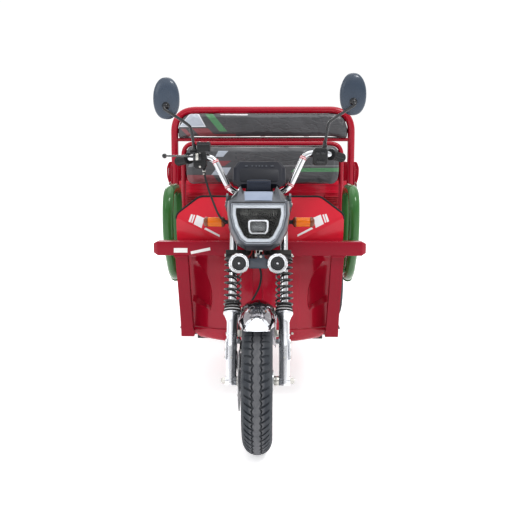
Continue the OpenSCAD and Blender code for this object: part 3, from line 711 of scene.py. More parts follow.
def worn_tyre(name, centre):
    """Rubber, dusty and paler on the running surface, dark in the grooves."""
    m = Mat(name, (0.026, 0.032, 0.042), 0.62, 0.0, 0.0, 0.1, 0.35)
    sep = m.xyz()
    cy = (centre[0] - Y0) / 1000
    dy = m.math("SUBTRACT", sep["Y"], cy)
    dz = m.math("SUBTRACT", sep["Z"], (AXLE_Z - SINK) / 1000)
    r = m.math("SQRT", m.math("ADD", m.math("MULTIPLY", dy, dy), m.math("MULTIPLY", dz, dz)))
    worn = m.span(r, 0.2205, 0.2255)
    n = m.noise(55.0, 5.0, 0.65)
    base = m.mix(m.span(m.noise(22.0, 4.0), 0.35, 0.7), (0.034, 0.040, 0.050), (0.055, 0.060, 0.068))
    dusty = m.mix(m.span(n, 0.35, 0.7), (0.095, 0.098, 0.108), (0.150, 0.152, 0.160))
    m.set_color(m.mix(worn, base, dusty))
    m.set_rough(m.span(n, 0.3, 0.7, 0.5, 0.75))
    m.bump(m.noise(420.0, 3.0), 0.35, 0.0008)
    return m.mat


def tyre_rubber():
    m = Mat("tyre_rubber", (0.020, 0.023, 0.030), 0.55, 0.0, 0.0, spec=0.45)
    m.vary((0.034, 0.037, 0.044), 18.0, 0.35, 0.7)
    m.grime(dust=(0.20, 0.20, 0.205), amount=0.20, scale=14.0)
    m.bump(m.noise(420.0, 3.0), 0.3, 0.0006)
    return m.mat


TYRE = tyre_rubber()
TYRE_WORN = plain("tyre_rubber_worn", (0.10, 0.104, 0.112), 0.62, 0.0, 0.0, (0.055, 0.058, 0.064), 300.0, 0.4, 0.25, 0.35, 60.0)


PIPING = plain("piping", (0.030, 0.031, 0.034), 0.40, 0.0, 0.1, (0.045, 0.046, 0.05), 300.0, 0.1, 0.08)


def vinyl(name, patches=()):
    """Charcoal upholstery vinyl with leather grain, soft creases and printed stripes."""
    m = Mat(name, (0.060, 0.062, 0.068), 0.30, 0.0, 0.35, 0.16)
    m.vary((0.095, 0.098, 0.106), 7.0, 0.35, 0.7)
    for pts, color in patches:
        m.set_color(m.mix(m.patch(pts), m.color, color))
    m.rough = m.span(m.noise(16.0, 4.0), 0.3, 0.7, 0.24, 0.42)
    m.grime(amount=0.05, scale=10.0)
    crease = m.noise(11.0, 3.0, 0.5, m.scaled(0.7, 1.0, 2.2), 1.3)
    ridge = m.math("ABSOLUTE", m.math("SUBTRACT", crease, 0.5))
    m.bump(m.span(ridge, 0.0, 0.06), 0.35, 0.0035)
    m.bump(m.noise(26.0, 3.0, 0.5, m.scaled(0.6, 1.0, 1.6), 0.8), 0.22, 0.003)
    m.bump(m.voronoi(650.0), 0.14, 0.0004)
    return m.mat


# ---------------------------------------------------------------- camera, light and floor
def camera():
    data = bpy.data.cameras.new("camera")
    data.lens = 52.94
    data.sensor_width = 36.0
    data.clip_start = 0.05
    data.clip_end = 200.0
    ob = bpy.data.objects.new("camera", data)
    ob.location = (0.0397, -3.4995, 0.9505)
    yaw, pitch = math.radians(1.207), math.radians(8.0)
    look = Vector((-math.sin(yaw) * math.cos(pitch), math.cos(yaw) * math.cos(pitch), -math.sin(pitch)))
    ob.rotation_euler = look.to_track_quat("-Z", "Y").to_euler()
    bpy.context.scene.collection.objects.link(ob)
    bpy.context.scene.camera = ob


def area_light(name, at, aim, size, power, size_y=None, color=(1, 1, 1)):
    data = bpy.data.lights.new(name, "AREA")
    data.shape = "RECTANGLE"
    data.size = size
    data.size_y = size_y or size
    data.energy = power
    data.color = color
    ob = bpy.data.objects.new(name, data)
    ob.location = at
    ob.rotation_euler = (Vector(aim) - Vector(at)).to_track_quat("-Z", "Y").to_euler()
    bpy.context.scene.collection.objects.link(ob)


def studio():
    world = bpy.data.worlds.new("studio")
    bpy.context.scene.world = world
    world.use_nodes = True
    nt = world.node_tree
    bg = nt.nodes["Background"]
    tc = nt.nodes.new("ShaderNodeTexCoord")
    sep = nt.nodes.new("ShaderNodeSeparateXYZ")
    nt.links.new(tc.outputs["Generated"], sep.inputs[0])

    def span(src, x0, x1, y0, y1):
        r = nt.nodes.new("ShaderNodeMapRange")
        r.interpolation_type = "SMOOTHSTEP"
        for k, v in (("From Min", x0), ("From Max", x1), ("To Min", y0), ("To Max", y1)):
            r.inputs[k].default_value = v
        nt.links.new(src, r.inputs["Value"])
        return r.outputs["Result"]
    # dim level in front, bright overhead, and a pale backdrop behind
    front = span(sep.outputs["Z"], 0.05, 0.80, 0.26, 1.35)
    low = span(sep.outputs["Z"], 0.07, 0.20, 0.75, 0.0)
    add = nt.nodes.new("ShaderNodeMath")
    add.operation = "ADD"
    nt.links.new(front, add.inputs[0])
    nt.links.new(low, add.inputs[1])
    front = add.outputs[0]
    back = span(sep.outputs["Y"], -0.40, 0.35, 0.0, 1.0)
    mix = nt.nodes.new("ShaderNodeMix")
    nt.links.new(back, mix.inputs[0])
    nt.links.new(front, mix.inputs[2])
    mix.inputs[3].default_value = 1.03
    nt.links.new(mix.outputs[0], bg.inputs["Strength"])
    bg.inputs["Color"].default_value = (1.0, 1.0, 1.0, 1)
    area_light("key", (2.3, -3.0, 4.8), (0, -0.4, 0.5), 1.6, 88, 1.2)
    area_light("fill", (-3.6, -3.4, 2.6), (0, -0.4, 0.5), 2.2, 20, 1.6)
    area_light("top", (0.2, 0.4, 4.6), (0, 0.2, 0), 3.0, 40, 3.4)
    area_light("back", (-1.8, 4.4, 2.8), (0, 0.6, 0.6), 2.2, 32, 1.4)
    me = bpy.data.meshes.new("floor")
    s = 60.0
    me.from_pydata([(-s, -s, 0), (s, -s, 0), (s, s, 0), (-s, s, 0)], [], [(0, 1, 2, 3)])
    floor = bpy.data.objects.new("floor", me)
    m = Mat("pale_floor", (0.80, 0.80, 0.81), 0.8, spec=0.2)
    m.vary((0.79, 0.79, 0.80), 0.8)
    m.bump(m.noise(60.0, 3.0), 0.04, 0.001)
    m.bsdf.inputs["Emission Color"].default_value = (1.0, 1.0, 1.0, 1)
    m.bsdf.inputs["Emission Strength"].default_value = 0.55
    me.materials.append(m.mat)
    bpy.context.scene.collection.objects.link(floor)
    view = bpy.context.scene.view_settings
    view.view_transform = "Standard"
    view.look = "None"
    view.exposure = 0.0
    view.gamma = 0.86


camera()
studio()

# ---------------------------------------------------------------- CAD pieces that stay
dress("main_frame", BLACK, 2.0)
dress("footwell_floor", FOOT, 0.8)
dress("seat_box", RED, 1.5)
dress("battery_pack", BATTERY, 4.0, 3)
dress("bed_floor", FLOOR_RED, 1.2)
dress("bed_front_wall", WALL_RED_LIT, 1.0)
dress("left_gate", RED, 1.5)
dress("right_gate", RED, 1.5)
dress("tailgate", RED, 1.5)
dress("leaf_springs", BLACK, 1.0)
dress("rear_axle", BLACK, 1.5)
dress("drive_motor", MOTOR, 3.0, 3)
dress("rear_bumper", RED, 1.8)
dress("tail_lights", RED_LENS, 4.0, 3)
dress("brake_pedal", BLACK, 1.0)
dress("seat_base", PLASTIC, 1.5)
dress("steering_yokes", BLACK, 2.5, 3)
dress("fork_stanchions", CHROME, 0.8)
dress("front_axle", ZINC, 0.8)
for n in ("front_rim", "rear_rim_left", "rear_rim_right"):
    dress(n, RIM, 1.2)
dress("brake_disc", STEEL, 0.4)


# ---------------------------------------------------------------- hoops, guards and bed
def hoop(x, l, z0, z1, corner, r, k=18, segs=30):
    return tube(route([(-x, l, z0), (-x, l, z1), (x, l, z1), (x, l, z0)], corner, k), r, (0, 1, 0), segs)


def bar_flat(x0, x1, l0, l1, z0, z1, r=1.5, e=0.8):
    return rbox(x0, x1, l0, l1, z0, z1, r, e)


def headboard():
    parts = [hoop(423, 1352, 593.1, 1154, 105, 17)]
    parts.append(rod((-420, 1352, 1015), (420, 1352, 1015), 8, 20))
    for z in (1045, 1100):
        parts.append(bar_flat(-421, 421, 1364, 1369, z, z + 24))
    # upright stays behind the pad
    for x in (-210, 0, 210):
        parts.append(bar_flat(x - 12, x + 12, 1369, 1373, 1030, 1137))
    make("headboard_hoop", join(*parts), "chassis", RED, "headboard_frame")
    # latch handles outside the posts
    handle = route([(438, 1350, 905), (449, 1346, 908), (459, 1344, 880), (458, 1343, 838), (449, 1344, 806), (452, 1346, 775),
                    (438, 1350, 768)], 9, 5)
    grip = tube(handle, 4.2, (0, 1, 0), 14)
    plate = side_plate(round_poly([(1339, 764), (1366, 764), (1366, 892), (1352, 912), (1339, 892)], 6), 437.5, 442, 0.8)
    hook = tube(route([(444, 1345, 812), (452, 1336, 806), (452, 1334, 786), (446, 1340, 778)], 5, 4), 2.6, (1, 0, 0), 10)
    pin = rod((440, 1352, 800), (456, 1352, 800), 5.5, 16)
    make("latch_handles", both(join(grip, plate)), "chassis", RED)
    make("latch_hooks", both(join(hook, pin)), "chassis", ZINC)


headboard()


def backrest():
    parts = [hoop(362, 1180, 566.1, 995, 55, 10, 14, 24)]
    for z in (840, 935):
        parts.append(bar_flat(-360, 360, 1186, 1191, z, z + 30))
    for x in (-180, 180):
        parts.append(bar_flat(x - 12, x + 12, 1191, 1194.5, 825, 975))
    make("backrest_hoop", join(*parts), "chassis", RED, "backrest_frame")


backrest()


def guards():
    pts = [(372, 690, 606), (372, 870, 425), (372, 1000, 425), (372, 1000, 803), (372, 705, 803)]
    loop = tube(route(pts, 90, 14, loop=True), 22, (1, 0, 0), 36, loop=True)
    ends = ((830, 464), (1000, 600))
    stays = join(*[rod((299, l, z), (368, l, z), 9, 20) for l, z in ends])
    tabs = join(*[rod((299, l, z), (303, l, z), 20, 24) for l, z in ends])
    make("side_guards", both(join(loop, stays, tabs)), "chassis", GREEN, "guard_loops")


guards()


def louvres():
    """Slatted vents in the front wall of the bed."""
    frame_, slats = [], []
    frame_.append(front_plate(round_poly([(296, 692), (370, 692), (370, 751), (296, 751)], 5), 1338.5, 1341, 0.8))
    for i in range(6):
        z = 699 + i * 8.4
        sec = [(1333.0, z), (1340.0, z + 5.2), (1340.0, z + 6.4), (1332.4, z + 1.2)]
        v = [(x, l, h) for x in (301, 365) for l, h in sec]
        f = [(0, 1, 2, 3), (7, 6, 5, 4)] + [(k, k + 4, (k + 1) % 4 + 4, (k + 1) % 4) for k in range(4)]
        slats.append((v, f))
    make("vent_frames", both(join(*frame_)), "chassis", RED)
    make("vent_slats", both(join(*slats)), "chassis", RED_IN, smooth=False)


louvres()

# ---------------------------------------------------------------- leg shield
CREASE = ((148, 418, 642), (307, 447, 722))


def mix3(a, b, t):
    return tuple(p + (q - p) * t for p, q in zip(a, b))


def spread(c, e, f):
    """Height between crease and edge values at fraction f."""
    return c + (e - c) * f


def shield_row(zc, xc, l20, lc, ze, xe, le, bulge, rd, xb, groove=3.0):
    """One row of the right half, from the middle to the edge."""
    row = [(0, l20 + groove, zc), (17, l20 + groove, zc), (19.5, l20, zc), (34, l20 + (lc - l20) * 0.12, zc)]
    for x in (75, 115):
        row.append((x, l20 + (lc - l20) * (x - 20) / (xc - 20), zc))
    row.append((xc - 3.0, lc - 0.25, zc))
    row.append((xc, lc, zc))
    fb = (xb - xc) / (xe - xc)
    cols = [0.03, fb * 0.5, fb - 2.0 / (xe - xc), fb + 2.5 / (xe - xc), fb + (1 - fb) * 0.35, fb + (1 - fb) * 0.7, 0.985, 1.0]
    for i, f in enumerate(cols):
        f = min(max(f, 0.02), 1.0)
        l = lc + (le - lc) * f - bulge * 4 * f * (1 - f)
        if i >= 3:
            l += rd * (1.0 if i < 5 else 0.85 if i == 5 else 0.62)
        row.append((xc + (xe - xc) * f, l, spread(zc, ze, f)))
    return row


def leg_shield():
    rows = []
    top = shield_row(797, 148, 462, 462, 797, 222, 462, 0, 0, 190, 0)
    low = shield_row(642, 148, 414, 418, 722, 307, 447, 0, 0, 240, 0)
    sh = shield_row(657.5, 148, 418.8, 422.4, 732, 307, 449, 0, 0, 240, 0)
    top_in = [(x, l + 3, z - 0.0) for x, l, z in top]
    rows.append([(x, l + 5.0, z + 1.5) for x, l, z in top])
    rows.append([(x, l + 1.2, z + 1.0) for x, l, z in top])
    for t in (0.012, 0.208, 0.45, 0.7, 0.9, 0.985):
        rows.append([mix3(a, b, t) for a, b in zip(top, sh)])
    rows.append(sh)
    rows.append([mix3(a, b, 0.85) for a, b in zip(sh, low)])
    rows.append(low)
    rows.append([(x, l + 0.4, z - 4) for x, l, z in low])
    spec = [
        # zc, xc, l20, lc, ze, xe, le, bulge, rd, xb, groove
        (634, 148, 414, 418, 690, 307, 449, 0, 0, 240, 0),
        (600, 148, 411, 416, 600, 304, 452, 1, 0, 238, 1.5),
        (588, 147, 409, 414, 588, 292, 452, 1, 0, 236, 3),
        (575, 146, 406, 412, 575, 256, 452, 2, 0, 234, 3),
        (561, 146, 405, 411, 561, 255, 451, 3, 0, 233, 3),
        (552, 145.5, 404, 410, 553, 254.5, 451, 3, 5, 228, 3),
        (540, 145, 403, 409.5, 541, 254, 450.5, 3, 12, 217, 3),
        (524, 144.5, 402, 409, 525, 253.6, 450, 3, 16, 203, 3),
        (505, 144, 400, 407, 507, 253, 449.5, 3, 17, 192, 3),
        (482, 143.5, 398, 405.5, 486, 252, 449, 3, 17, 184, 3),
        (458, 143, 396, 404, 466, 251, 448.5, 3, 17, 178.5, 3),
        (430, 142.5, 394.5, 403, 450, 250.5, 448, 3, 17, 176.5, 3),
        (396, 142, 394, 402.3, 440, 250, 448, 3, 17, 177, 3),
        (372, 141.5, 394, 402, 433, 250, 448, 3, 17, 180, 3),
        (367, 141.5, 394, 402, 409, 249.6, 448.2, 3, 0, 182, 3),
        (360, 141.4, 394, 402, 402, 249.4, 448.4, 3, 0, 183, 3),
        (345, 141, 394.6, 402.6, 372, 249, 449, 3, 0, 184, 3),
        (318, 140, 395.6, 403.6, 320, 248, 450, 3, 0, 186, 3),
        (314.5, 140, 395.8, 403.8, 315.5, 247.6, 450, 3, 0, 186, 3),
        (312.5, 139.8, 391.0, 399.0, 312.0, 247.4, 446.5, 3, 0, 186, 3),
        (304, 139, 391.0, 399.2, 303, 247, 447, 3, 0, 186, 3),
        (286, 135.5, 395, 403, 290, 242.5, 450, 3, 0, 184, 3),
        (272, 132.5, 402, 410, 277, 231, 455, 3, 0, 181, 3),
        (266.5, 132, 408, 416, 269.5, 220, 460, 2, 0, 178, 3),
        (266.5, 132, 416, 424, 269, 215, 464, 2, 0, 176, 0),
    ]
    for s in spec:
        rows.append(shield_row(*s))
    grid = [[(-x, l, z) for x, l, z in row[:0:-1]] + row for row in rows]
    # the seam strip of the lower panel sits a little off the middle
    for row in grid[13:]:
        m = len(row) // 2
        for j in range(m - 2, m + 3):
            row[j] = (row[j][0] - 7.0, row[j][1], row[j][2])
    m = len(grid[0]) // 2

    def skip(i, j):
        return 4 <= i < 12 and m - 3 <= j < m + 3

    geo = shell(grid, 3.6, skip)
    m_ = Mat("shield_paint", (0.38, 0.0045, 0.028), 0.20, 0.0, 0.4, 0.05, spec=0.3)
    m_.vary((0.32, 0.0035, 0.018), 2.2, 0.3, 0.75)
    # painted light: above the crease the upper facets are mixed to a lighter, pinker red, standing in for the light
    # from above
    up = m_.span(m_.xyz()["Z"], 0.612, 0.632)
    m_.set_color(m_.mix(up, m_.color, (0.62, 0.020, 0.045)))
    left = [
        [(-252.2, 733.4), (-244.9, 731.6), (-254.2, 703.0), (-261.8, 707.0)],
        [(-242.3, 731.7), (-236.8, 729.9), (-246.7, 700.6), (-251.4, 703.5)],
        [(-231.1, 730.8), (-203.4, 719.1), (-212.7, 682.8), (-242.3, 697.3)],
        [(-197.7, 685.7), (-145.7, 659.3), (-146.1, 651.8), (-203.5, 680.1)],
    ]
    for pts in left:
        for q in (pts, [(-x - 9, z + 2) for x, z in pts]):
            m_.set_color(m_.mix(m_.patch(q, 462), m_.color, (0.80, 0.80, 0.81)))
    m_.grime(amount=0.05, scale=7.0, rough_add=0.16)
    m_.bump(m_.noise(180.0, 2.0), 0.05, 0.0004)
    m_.bump(m_.noise(9.0, 2.0), 0.05, 0.002)
    make("leg_shield_panel", geo, "chassis", m_.mat, "leg_shield", angle=16)
    # rubber trim over the top edge
    edge = [(x, l, z) for x, l, z in [(-307, 451, 716), (-307, 453, 733), (-222, 465, 797.5), (222, 465, 797.5), (307, 453, 733), (307, 451, 716)]]
    trim = sweep(route(edge, 16, 6), rrect(5.2, 3.4, 2.2, 4), (0, 1, 0))
    make("shield_trim", trim, "chassis", RUBBER)
    # screws on the lower panel
    screws = []
    for x, z, l in ((120, 585, 409), (120, 300, 396), (-120, 585, 409), (-120, 300, 396)):
        screws.append(revolve([(0, 2.2), (3.2, 2.0), (4.6, 1.0), (5.0, 0.0), (5.0, -1.5), (0, -1.5)], 20, (x, l, z), (0, -1, 0)))
    make("shield_screws", join(*screws), "chassis", ZINC)


leg_shield()


# ---------------------------------------------------------------- bumper
def bumper():
    def ring(x, l0, l1, z0, z1, r):
        w, h = (l1 - l0) / 2, (z1 - z0) / 2
        return [(x, (l0 + l1) / 2 + a, (z0 + z1) / 2 + b) for a, b in rrect(w, h, r, 4)]

    rings = []
    for x, l0, z0, z1, r in ((-378, 356, 604, 636, 3), (-377, 354, 602.8, 637.2, 4), (-363.5, 341.2, 596, 644, 4), (-361.5, 340, 595, 645, 4)):
        rings.append(ring(x, l0, 390, z0, z1, r))
    rings += [[(-x, l, z) for x, l, z in q] for q in rings[::-1]]
    bar = loft(rings)
    parts = [bar]
    # channel struts: open to the back, flared at the foot
    def channel(c, w, d, t):
        x, l, z = c
        pts = [(-w, d), (-w, 1.5), (-w + 1.5, 0), (w - 1.5, 0), (w, 1.5), (w, d), (w - t, d), (w - t, t), (-w + t, t), (-w + t, d)]
        return [(x + a, l + b, z) for a, b in pts]

    path = [(0.0, 23.5, 43), (0.03, 23.2, 42), (0.09, 22.4, 40), (0.2, 21.6, 40), (0.6, 21.6, 40), (1.0, 22.4, 40)]
    rows = []
    for t, w, d in path:
        rows.append(channel((263 + 16 * t, 385 - 33 * t, 290 + 307 * t), w, d, 3.6))
    strut = loft(rows)
    foot = rbox(252, 286, 392, 500, 288, 302, 3, 1)
    tab = rbox(190, 216, 389, 424, 603, 637, 3, 1)
    cap = rbox(254, 304, 342, 392, 588, 595.5, 3, 1)
    parts += [both(join(strut, foot, tab, cap))]
    m = Mat("bumper_paint", (0.30, 0.0035, 0.024), 0.24, 0.0, 0.15, 0.05, spec=0.22)
    m.vary((0.26, 0.003, 0.018), 2.2, 0.3, 0.75)
    for q in ([(-303.7, 622.0), (-255.2, 622.0), (-255.5, 605.4), (-304.0, 605.4)],
              [(-244.5, 609.8), (-175.3, 624.9), (-173.4, 614.3), (-242.6, 599.7)]):
        m.set_color(m.mix(m.patch(q, 352), m.color, (0.76, 0.75, 0.74)))
    m.grime(amount=0.06, scale=7.0, rough_add=0.16)
    m.bump(m.noise(180.0, 2.0), 0.05, 0.0004)
    make("bumper_bar", join(*parts), "chassis", m.mat, "front_bumper", angle=28)
    bolts = []
    for s in (-1, 1):
        for z in (611, 629):
            bolts.append(hex_bolt((s * 203, 340, z), (0, -1, 0), 4.5, 3.0))
    make("bumper_bolts", join(*[hex_bolt((s * 269, 470, 302), (0, 0, 1), 6, 5) for s in (-1, 1)]), "chassis", ZINC)


bumper()


# ---------------------------------------------------------------- fork
LEG = 84.0


def leg_turn(profile, x, segs=40, v=0.0):
    """Round piece about a fork leg: (radius, height up the leg)."""
    geo = revolve(profile, segs)
    return in_legs(([(a + x, b + v, c) for a, b, c in geo[0]], geo[1]))


def fork_legs():
    prof = [(0, -14), (13.5, -14), (15.6, -13.2), (16.6, -11), (16.8, 104), (17.4, 106), (17.4, 112), (17.0, 114), (17.2, 143), (19.2, 144), (19.2, 147.6), (17.2, 148.6), (17.3, 185),
            (18.0, 190), (19.6, 195), (22.0, 201), (25.0, 207), (27.6, 211), (29.0, 213), (29.6, 214.2), (29.6, 219.4), (29.0, 220.8),
            (27.6, 221.6), (22.0, 221.8), (0, 221.8)]
    parts = []
    for s in (-1, 1):
        parts.append(leg_turn(prof, s * LEG))
        # axle eye, its collar, the pinch lug and the bolted bracket outside
        parts.append(revolve([(10.2, 0), (14.2, 0), (15.0, 0.8), (15.3, 2.0), (15.3, 33.4), (15.0, 34.6), (14.2, 35.4), (10.2, 35.4)], 36,
                             (s * 66.8, 0, 245), (s, 0, 0), closed=True))
        lug = rbox(-7, 7, -9, 9, 118, 132, 3, 1.2)
        parts.append(in_legs(shifted([(p[0] * 1.0, p[1], p[2]) for p in lug[0]] and lug, s * (LEG - 19 * 1), 0, 0)))
        br = side_plate(round_poly([(-11, 64), (11, 64), (12.5, 70), (12.5, 124), (9, 132), (-9, 132), (-12.5, 124), (-12.5, 70)], 3),
                        s * 101.5 - 2.4, s * 101.5 + 2.4, 0.8)
        parts.append(in_legs(br))
        web = rbox(min(s * 92, s * 100), max(s * 92, s * 100), -8, 8, 66, 130, 2, 0.8)
        parts.append(in_legs(web))
    # arm that carries the caliper
    parts.append(in_legs(side_plate(round_poly([(-4, 48), (42, 52), (44, 62), (40, 86), (-4, 88)], 4), -94, -66.6, 1.2)))
    m = Mat("slider_metal", (0.86, 0.87, 0.90), 0.26, 0.85, 0.15)
    m.vary((0.78, 0.79, 0.82), 30.0)
    # painted shade: the inner half of each leg, facing the wheel, is darkened to grey
    ax = m.math("ABSOLUTE", m.xyz()["X"])
    m.set_color(m.mix(m.span(ax, 0.0790, 0.0850), (0.25, 0.26, 0.28), m.color))
    m.grime(amount=0.05, scale=9.0, rough_add=0.12)
    m.bump(m.noise(220.0, 2.0), 0.05, 0.0004)
    make("fork_sliders", join(*parts), "fork", m.mat, "fork_lower_legs")
    bolts = []
    for s in (-1, 1):
        for w in (74, 98, 122):
            a = legs(s * 103.6, 0, w)
            bolts.append(hex_bolt(a, (s, 0, 0), 4.2, 2.2))
        a = legs(s * 65.0, 0, 125)
        bolts.append(hex_bolt(legs(s * (LEG - 24.5), 0, 125), (-s, 0, 0), 3.8, 2.6))
        # reflector studs seen from the side
        bolts.append(in_legs(shifted(revolve([(0, 0), (3.2, 0), (3.2, 2), (0, 2.6)], 14, (0, 0, 0), (0, -1, 0)), s * LEG, -16.2, 70)))
    make("slider_bolts", join(*bolts), "fork", ZINC)
    rings_b, rings_w = [], []
    for s in (-1, 1):
        rings_b.append(leg_turn([(14.0, 222), (27.6, 222), (28.6, 223), (28.6, 226.2), (27.6, 227), (14.0, 227)], s * LEG, 40))
        rings_b.append(leg_turn([(14.0, 231), (26.4, 231), (27.4, 232), (27.4, 236.5), (26.4, 237.4), (14.0, 237.4)], s * LEG, 40))
        rings_b.append(leg_turn([(14.0, 240.5), (22.5, 240.5), (23.3, 241.5), (23.3, 244), (22.5, 245), (14.0, 245)], s * LEG, 40))
        rings_b.append(leg_turn([(14.0, 396), (26.0, 396), (27.0, 397), (27.0, 406.6), (26.0, 407.4), (14.0, 407.4)], s * LEG, 40))
        rings_w.append(leg_turn([(14.0, 227), (25.2, 227), (26.0, 228), (26.0, 230.2), (25.2, 231), (14.0, 231)], s * LEG, 40))
        rings_w.append(leg_turn([(14.0, 237.4), (21.5, 237.4), (22.3, 238.2), (22.3, 239.8), (21.5, 240.5), (14.0, 240.5)], s * LEG, 40))
    make("spring_seats", join(*rings_b), "fork", RUBBER)
    make("spring_washers", join(*rings_w), "fork", STICKER)


fork_legs()


def fork_springs():
    parts = []
    turns, w0, w1, r, wire = 7.4, 249.0, 397.0, 26.7, 3.1
    for s in (-1, 1):
        pts = []
        n = int(turns * 26)
        for i in range(n + 1):
            t = i / n
            a = 2 * math.pi * turns * t
            # the end turns lie flat
            w = w0 + (w1 - w0) * (t + 0.012 * math.sin(2 * math.pi * t) * -1)
            pts.append(legs(s * LEG + r * math.cos(a * s), r * math.sin(a * s), w))
        parts.append(tube(pts, wire, (0, 0, 1), 12))
        for w in (247.0, 398.0):
            ring = [legs(s * LEG + r * math.cos(2 * math.pi * k / 40), r * math.sin(2 * math.pi * k / 40), w) for k in range(40)]
            parts.append(tube(ring, wire, (0, 0, 1), 12, loop=True))
    make("coil_springs", join(*parts), "fork", SPRING, "fork_springs")


fork_springs()


def upper_fork():
    """Covers and small parts over the bright tubes."""
    caps = []
    for s in (-1, 1):
        caps.append(leg_turn([(0, 614), (11, 614), (13.2, 614.6), (13.4, 616), (12.4, 619), (8, 620), (7.6, 617), (0, 617)], s * LEG, 30))
    make("tube_caps", join(*caps), "fork", ZINC)
    bolts = []
    for s in (-1, 1):
        bolts.append(hex_bolt(legs(s * 108, 10, 417), (s, 0, 0), 5.2, 4.4))
        bolts.append(hex_bolt(legs(s * 108, 10, 599), (s, 0, 0), 5.2, 4.4))
        for v in (17, 45):
            bolts.append(hex_bolt(legs(s * 36, v, 663), (0, math.sin(RAKE), math.cos(RAKE)), 4.4, 3.6))
    bolts.append(hex_bolt(legs(0, 50, 612), (0, math.sin(RAKE), math.cos(RAKE)), 13, 6))
    make("yoke_bolts", join(*bolts), "fork", ZINC)


upper_fork()


def caliper():
    body = side_plate(round_poly([(12, 40), (70, 44), (74, 60), (70, 96), (22, 100), (10, 84)], 8), -82.0, -66.4, 2.0, 3)
    inner = side_plate(round_poly([(16, 44), (62, 46), (66, 60), (62, 92), (26, 95), (16, 80)], 7), -56.0, -48.2, 2.0, 3)
    bridge = side_plate(round_poly([(52, 94), (66, 80), (71, 92), (62, 103), (30, 104), (28, 99)], 3), -67, -55, 1.5, 2)
    piston = revolve([(0, 0), (13, 0), (15, 1.5), (15, 7), (13.5, 9), (9, 9.6), (8.6, 8), (0, 8)], 30, legs(-81.5, 40, 70), (-1, 0, 0))
    pin = [revolve([(0, 0), (5, 0), (5.4, 1), (5.4, 6), (4.4, 7.4), (0, 7.4)], 18, legs(-81.5, v, w), (-1, 0, 0)) for v, w in ((22, 52), (62, 88))]
    nipple = rod(legs(-74, 66, 92), legs(-74, 78, 104), 3.2, 12)
    banjo = revolve([(0, 0), (6.4, 0), (6.8, 0.8), (6.8, 5.4), (6.0, 6.2), (0, 6.2)], 18, legs(-57, 66, 100), (0, 0.9, 0.42))
    # the ring piece keeps clear of the disc plane
    make("brake_caliper_body", join(in_legs(body), in_legs(inner), piston, *pin, nipple), "fork", MOTOR, "brake_caliper")


caliper()


def hose():
    pts = [(-190, 300, 901.4), (-184, 292, 866), (-160, 262, 800), (-124, 203, 738), (-70, 200, 712), (-44, 184, 690), (-16, 150, 653),
           (-16, 142, 616), (6, 150, 575), (4, 178, 520), (-26, 232, 452), (-64, 246, 404), (-66, 160, 345), (-57, 90, 348), (-57, 78.6, 319.2)]
    path = smooth_path(pts, 6)
    make("brake_line", tube(path, 3.5, (1, 0, 0), 12), "fork", RUBBER, "brake_hose")
    ends = [revolve([(0, 0), (5.0, 0), (5.4, 1), (5.4, 10), (4.2, 12), (3.7, 20), (0, 20)], 16, pts[0], (0, -0.2, -1)),
            revolve([(0, -2), (5.0, -2), (5.4, -1), (5.4, 6), (4.2, 8), (3.7, 14), (0, 14)], 16, pts[-1], (0, 0.38, 0.92))]
    make("hose_ends", join(*ends), "fork", ZINC)


def smooth_path(pts, k):
    """Catmull-Rom curve through the points."""
    p = [Vector(q) for q in pts]
    out = []
    for i in range(len(p) - 1):
        a, b, c, d = p[max(i - 1, 0)], p[i], p[i + 1], p[min(i + 2, len(p) - 1)]
        for j in range(k):
            t = j / k
            out.append(0.5 * ((2 * b) + (c - a) * t + (2 * a - 5 * b + 4 * c - d) * t * t + (3 * b - a - 3 * c + d) * t ** 3))
    return out + [p[-1]]


hose()


